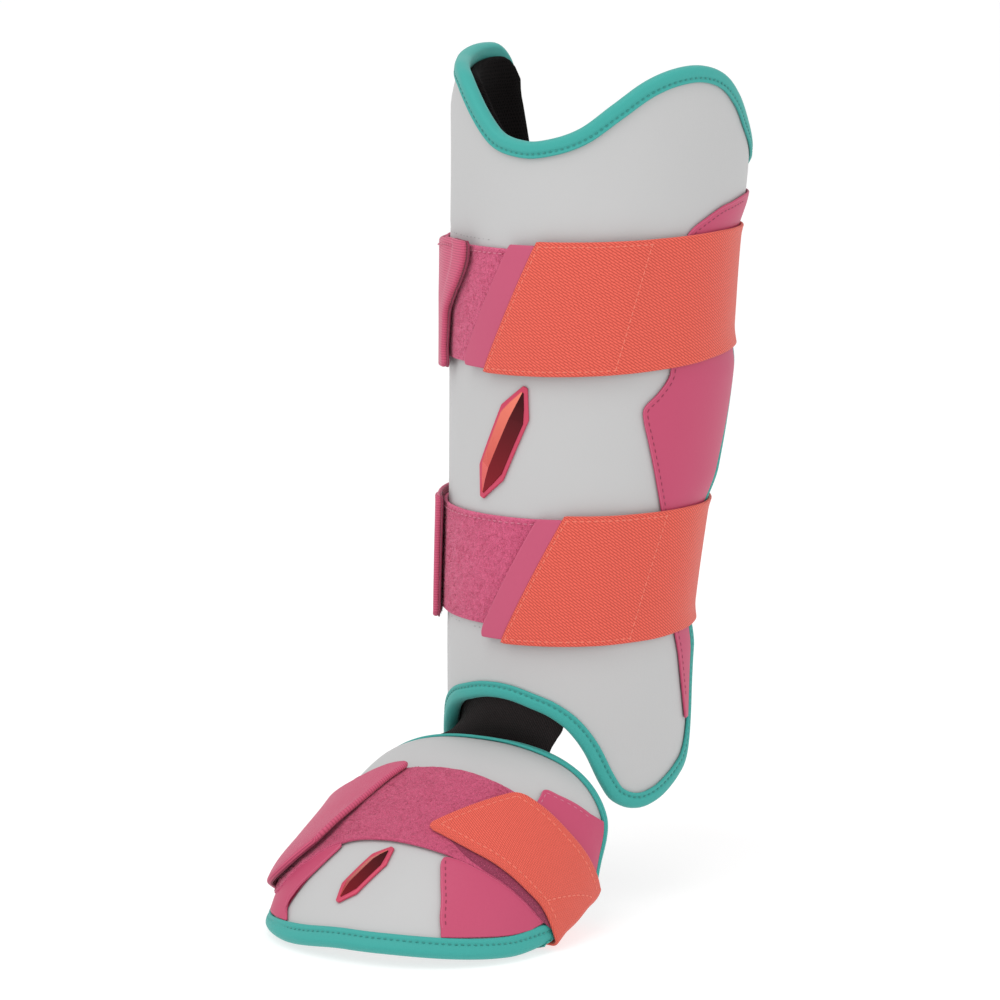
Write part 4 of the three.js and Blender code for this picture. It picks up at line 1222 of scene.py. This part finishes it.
# Foot panels
def rim_place(x, side):
    x = np.asarray(x, float)
    toe = mix(FOOT_PANEL_TOE[side], 1, x / FOOT_PANEL_RIM)
    run = (x - FOOT_PANEL_RIM) / (1 - FOOT_PANEL_RIM)
    across = np.where(x < FOOT_PANEL_RIM, toe, np.where(x < 1, 1, 2 - x))
    share = np.where(x < 1, mix(foot_front(1.0), foot_rear(1.0), run), foot_rear(across))
    return side * across, np.where(x < FOOT_PANEL_RIM, foot_front(across), share)


def rim_inset(x, side, margin):
    a, b = rim_place(x, side)
    distance = FOOT_LEG * leg_share(foot_face, a, b) + margin
    ahead = foot_face(*rim_place(x + 0.01, side))
    behind = foot_face(*rim_place(np.maximum(x - 0.01, 0), side))
    _, _, _, out = frame_on(foot_face, a, b)
    inward = unit(np.cross(out, ahead - behind)) * side
    return walk(foot_face, a, b, inward, distance, 8)


# Sewn rows of the foot panels: distance from the upper edge, part of it that a row follows, kind
FOOT_PANEL_SEWN = {
    "lateral_front": (1.9, (0.03, 0.42), "panel"),
    "lateral_rear": (1.9, (0.02, 0.98), "light_panel"),
}
for name, (side, rim, edge) in FOOT_PANELS.items():
    def panel_place(s, t):
        share, across = trace(edge, t)
        rim_across, rim_share = rim_inset(mix(*rim, t), side, FOOT_PANEL_MARGIN)
        return mix(side * across, rim_across, s), mix(share, rim_share, s)

    p, obj, extras = flat_panel(f"foot_{name}_panel", foot_face, panel_place, "foot_panel", (0.02, 0.98),
                                FOOT_PANEL_SEWN.get(name))
    flat = max(grid_area(p) / p["tall"] * 1000, 0.012), p["tall"] / 1000


# Foot loop band, with a darker strip of painted shade in front of the strap, where the strap shades it
def foot_loop_place(s, t):
    across, rear, front = trace(FOOT_LOOP, s)
    return across, mix(rear, front + 0.006, t)


# Strip of painted shade on the loop band, along the foot strap's front edge
def shade_strip_place(s, t):
    across = mix(0.2, 0.93, s)
    front = along(FOOT_STRAP_OUTER, across, 2)
    reach = mix(front - 0.01, along(FOOT_LOOP, across, 2) + 0.004, smooth(across, 0.2, 0.5))
    return across, mix(front - 0.03, reach, t)


p = patch(foot_face, foot_loop_place, "foot_loop_panel")
foot_loop, hair = loop_panel("foot_loop_panel", p, FOOT_PILE, FOOT_LOOP_FIBRES, 23)
q = patch(foot_face, shade_strip_place, "margin")
margin = piece("foot_loop_panel", layer(q, AIR + LOOP - 0.3, AIR + LOOP + 0.06), PAINTED_SHADE_PILE, "_painted_shade")


# Foot strap: over the outer side of the dome, round the rim, under the sole and up again
def dome_rows(table, start, stop, side, height, steps, columns, rounding, rise=0):
    t = np.linspace(0, 1, columns + 1)[None]
    first = mix(*start, t) + rounding * (corner(t, (0.09, 1)) + corner(1 - t, (0.09, 1)))
    q = mix(first, stop, np.linspace(0, 1, steps)[:, None])
    share = mix(along(table, q, 1), along(table, q, 2), t)
    return lift(foot_face, side * q, share, height + rise * smooth(t, 0.5, 1) * smooth(q, 0.95, 0.75))


def rim_rows(table, side, turns):
    share = mix(along(table, 1, 1), along(table, 1, 2), np.linspace(0, 1, STRAP_COLUMNS + 1))
    point, _, along_b, out = frame_on(foot_face, float(side), share)
    down = unit(np.cross(out, along_b)) * side
    turn = np.radians(np.linspace(*turns, 15))[:, None, None]
    return point + (out * np.cos(turn) + down * np.sin(turn)) * (STRAP_MIDDLE + RIM_ROOM)


def strip(node, grid, half, edge, look):
    """Band of even thickness about a grid of points, with its length and its width"""
    out = normals(grid)
    spread = lengths(grid)
    obj = piece(node, slab(grid, out, -half, half, edge, spread * [1, -1]), look)
    return obj, out, (spread[0, -1, 1] / 1000, spread[-1, 0, 0] / 1000)


def away(out, grid, row):
    """Directions turned to point away from the foot, as the one at a row's middle shows"""
    middle = STRAP_COLUMNS // 2
    return out * np.sign(dot(out[row, middle], grid[row, middle] - foot_face(0, 0.5) + [0, 0, 30]))


STRAP_COLUMNS = 60
STRAP_MIDDLE = FOOT_STRAP_SEAT + STRAP / 2
dome = dome_rows(FOOT_STRAP_OUTER, FOOT_TIP, 1, 1, STRAP_MIDDLE, 170, STRAP_COLUMNS, 0.035)
turned = rim_rows(FOOT_STRAP_OUTER, 1, (6, 90))
risen_rows = rim_rows(FOOT_STRAP_INNER, -1, (90, 0))
sole = mix(turned[-1][None], risen_rows[0][None], np.linspace(0, 1, 50)[1:-1, None, None])
rows = np.concatenate([dome, turned, sole, risen_rows])
foot_strap, out, flat = strip("foot_strap", rows, STRAP / 2, STRAP / 2, FOOT_ORANGE)
out = away(out, dome, 60)[: len(dome)]
sewn = []
sewn_rows = {"rear": np.s_[6:165, 5], "front": np.s_[6:150, -6], "tip": np.s_[7, 5:-5]}
for tag, where in sewn_rows.items():
    up = out[where]
    line = dome[where] + up * (STRAP / 2 + 0.02)
    sewn.append(stitches("foot_strap", "_stitches_" + tag, line, up, "strap"))
a, b = straight(*FOOT_CROSS)
height = FOOT_STRAP_SEAT + STRAP + 0.02
sewn.append(stitch_line("foot_strap", "_stitches_cross", foot_face, a, b, height, "strap"))

# Ribbed end of the foot strap: its front edge stands off the loop band, with hooks under it
middle = FOOT_STRAP_SEAT + STRAP_END / 2
grid = dome_rows(FOOT_STRAP_INNER, FOOT_HEM, FOOT_JOIN, -1, middle, 140, STRAP_COLUMNS, 0.02, FOOT_END_RISE)
foot_end, out, flat = strip("foot_strap_end", grid, STRAP_END / 2, STRAP_END / 2 - 0.3, RIBBED)
out = away(out, grid, 30)
underside = grid - out * STRAP_END / 2
# Hook tape and fibres under the front edge: darker partly in their own colour, partly as painted shade
wider = [(across, rear, ahead + 0.007) for across, rear, ahead in FOOT_STRAP_INNER]
under = dome_rows(wider, FOOT_HEM, FOOT_JOIN, -1, FOOT_STRAP_SEAT + 0.2, 140, 30, 0.02, FOOT_END_RISE)
under = under[:120, 14:]
tape_shape = slab(under, -normals(under), -0.45, 0.45, 0.3, lengths(under))
fringe = [piece("foot_strap_end", tape_shape, HOOKS_AND_SHADE, "_hook_tape")]
for tag, count, where in (("hem", FOOT_HEM_HOOKS, np.s_[:14]), ("front", FOOT_FRONT_HOOKS, np.s_[:110, -9:])):
    part = {"grid": underside[where], "out": -out[where]}
    fringe.append(fibres("foot_strap_end", f"_{tag}_hooks", part, 0.2, count, HOOKS_AND_SHADE, HOOK_LENGTH))


# Connector: an elastic strip from behind the shin's bottom edge to under the foot's dome
def through(rows, count):
    """Smooth rows of points through the given ones"""
    run = running(steps_of(rows).mean(1))
    stops = np.linspace(0, run[-1], count)
    flat = rows.reshape(len(rows), -1)
    out = [along(np.stack([run, flat[:, k]], 1), stops) for k in range(flat.shape[1])]
    return np.stack(out, 1).reshape(count, *rows.shape[1:])


low = BOTTOM_EDGE[0][1]
turn = np.linspace(*CONNECTOR_TURN, CONNECTOR_COLUMNS)
across = np.linspace(*CONNECTOR_ACROSS, CONNECTOR_COLUMNS)
share = (turn - wrap_angle(0, low)) / (wrap_angle(1, low) - wrap_angle(0, low))
edge = bottom_edge(share)
shin_rows = [lift(shin_face, turn, edge + above, CONNECTOR_UNDER_SHIN) for above in CONNECTOR_SHIN_ROWS]
foot_rows = [lift(foot_face, across, row, CONNECTOR_UNDER_FOOT) for row in CONNECTOR_FOOT_ROWS]
point, _, along_b, out = frame_on(foot_face, across, 0)
clear = ROLL + AIR + CONNECTOR / 2
behind = [point - unit(along_b) * clear + out * h for h in (CONNECTOR_BEHIND, -FOOT_SHELL)]
under = point - unit(along_b) * (clear - CONNECTOR_NEARER) + out * (CONNECTOR_UNDER_FOOT + CONNECTOR_ABOVE)
rows = np.stack([*shin_rows, mix(shin_rows[2], behind[0], 0.5), *behind, under, *foot_rows])
connector, _, flat = strip("connector_elastic", through(rows, 90), CONNECTOR / 2, CONNECTOR / 2, BLACK_TWILL)


# Badges: a slanted bar with blunt pointed ends, and a faceted bar on it
def badge_grid(face, badge, inset, columns, rows):
    point, along_a, along_b, out = frame_on(face, badge["across"], badge["along"])
    upward = unit(along_b) if face is shin_face else -unit(along_b)
    sideways = np.cross(upward, out)
    slant = math.radians(badge["slant"])
    length = upward * math.cos(slant) + sideways * math.sin(slant)
    width = sideways * math.cos(slant) - upward * math.sin(slant)
    l, w = np.meshgrid(np.linspace(-1, 1, columns + 1), np.linspace(-1, 1, rows + 1))
    taper = np.minimum(1, (1 - np.abs(l)) / BADGE_SHOULDER)
    half = mix(badge["tip"], badge["width"], taper) - inset * mix(GEM_TIP_SHARE, 1, taper)
    flat = scaled(length, l * (badge["half"] - inset * 2)) + scaled(width, w * half)
    distance = np.linalg.norm(flat, axis=-1)
    direction = flat / np.maximum(distance, 1e-6)[..., None]
    start = np.full(l.shape, float(badge["across"])), np.full(l.shape, float(badge["along"]))
    grid, _, _, out = frame_on(face, *walk(face, *start, direction, distance))
    return grid, out, l, w, taper


for name, face, badge in (("shin", shin_face, SHIN_BADGE), ("foot", foot_face, FOOT_BADGE)):
    grid, out, l, w, _ = badge_grid(face, badge, 0.5, 40, 10)
    base = slab(grid, out, 0.05, GAP + BADGE_BASE, 0.5, np.stack([l, w], -1))
    piece(f"{name}_badge_base", base, RIM)
    grid, out, l, w, taper = badge_grid(face, badge, GEM_INSET, 8, 2)
    low = GAP + BADGE_BASE - 0.1
    ridge = low + mix(GEM_EDGE, BADGE_GEM + 0.3, taper * (1 - np.abs(w)))
    gem = slab(grid, out, low, ridge, 0.1, np.stack([(l + 1) / 2, w], -1), turns=1)
    piece(f"{name}_badge_gem", gem, GEM, flat_shaded=True)


# Floor, light and camera
scene = bpy.context.scene
floor_mesh = bpy.data.meshes.new("floor")
level = cad_low.z - 0.0006
corners = [(-8, -8, level), (8, -8, level), (8, 8, level), (-8, 8, level)]
floor_mesh.from_pydata(corners, [], [(0, 1, 2, 3)])
paper = Look("floor", 0.9, specular=0.05, glow=0.68)
paper.base((0.4, 0.4, 0.4, 1))
floor_mesh.materials.append(paper.material)
floor = bpy.data.objects.new("floor", floor_mesh)
scene.collection.objects.link(floor)
floor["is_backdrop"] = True

world = bpy.data.worlds.new("studio")
world.use_nodes = True
world.node_tree.nodes["Background"].inputs[0].default_value = (1, 1, 1, 1)
world.node_tree.nodes["Background"].inputs[1].default_value = 0.805
scene.world = world


def softbox(name, place, aim, size, watts):
    data = bpy.data.lights.new(name, "AREA")
    data.shape = "SQUARE"
    data.size = size
    data.energy = watts
    lamp = bpy.data.objects.new(name, data)
    lamp.location = place
    toward = np.asarray(aim, float) - np.asarray(place, float)
    lamp.rotation_mode = "QUATERNION"
    lamp.rotation_quaternion = Vector(toward).to_track_quat("-Z", "Y")
    scene.collection.objects.link(lamp)


softbox("key", (-0.7, -1.7, 1.5), (0, 0, -0.05), 1.4, 9)
softbox("top", (0.1, -0.55, 1.3), (0, -0.09, -0.14), 0.8, 4.5)
softbox("side", (1.9, -0.5, 0.9), (0, 0, -0.05), 1.2, 6)

eye = to_frame([1031.67, -1442.18, 507.57])
aim = to_frame([-35.14, -26.48, 195])
camera_data = bpy.data.cameras.new("camera")
camera_data.sensor_width = 36
camera_data.lens = 145.9
camera_data.clip_end = 100
camera = bpy.data.objects.new("camera", camera_data)
camera.location = eye
camera.rotation_mode = "QUATERNION"
camera.rotation_quaternion = Vector(aim - eye).to_track_quat("-Z", "Y")
scene.collection.objects.link(camera)
scene.camera = camera
scene.view_settings.view_transform = "Standard"

low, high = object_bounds()
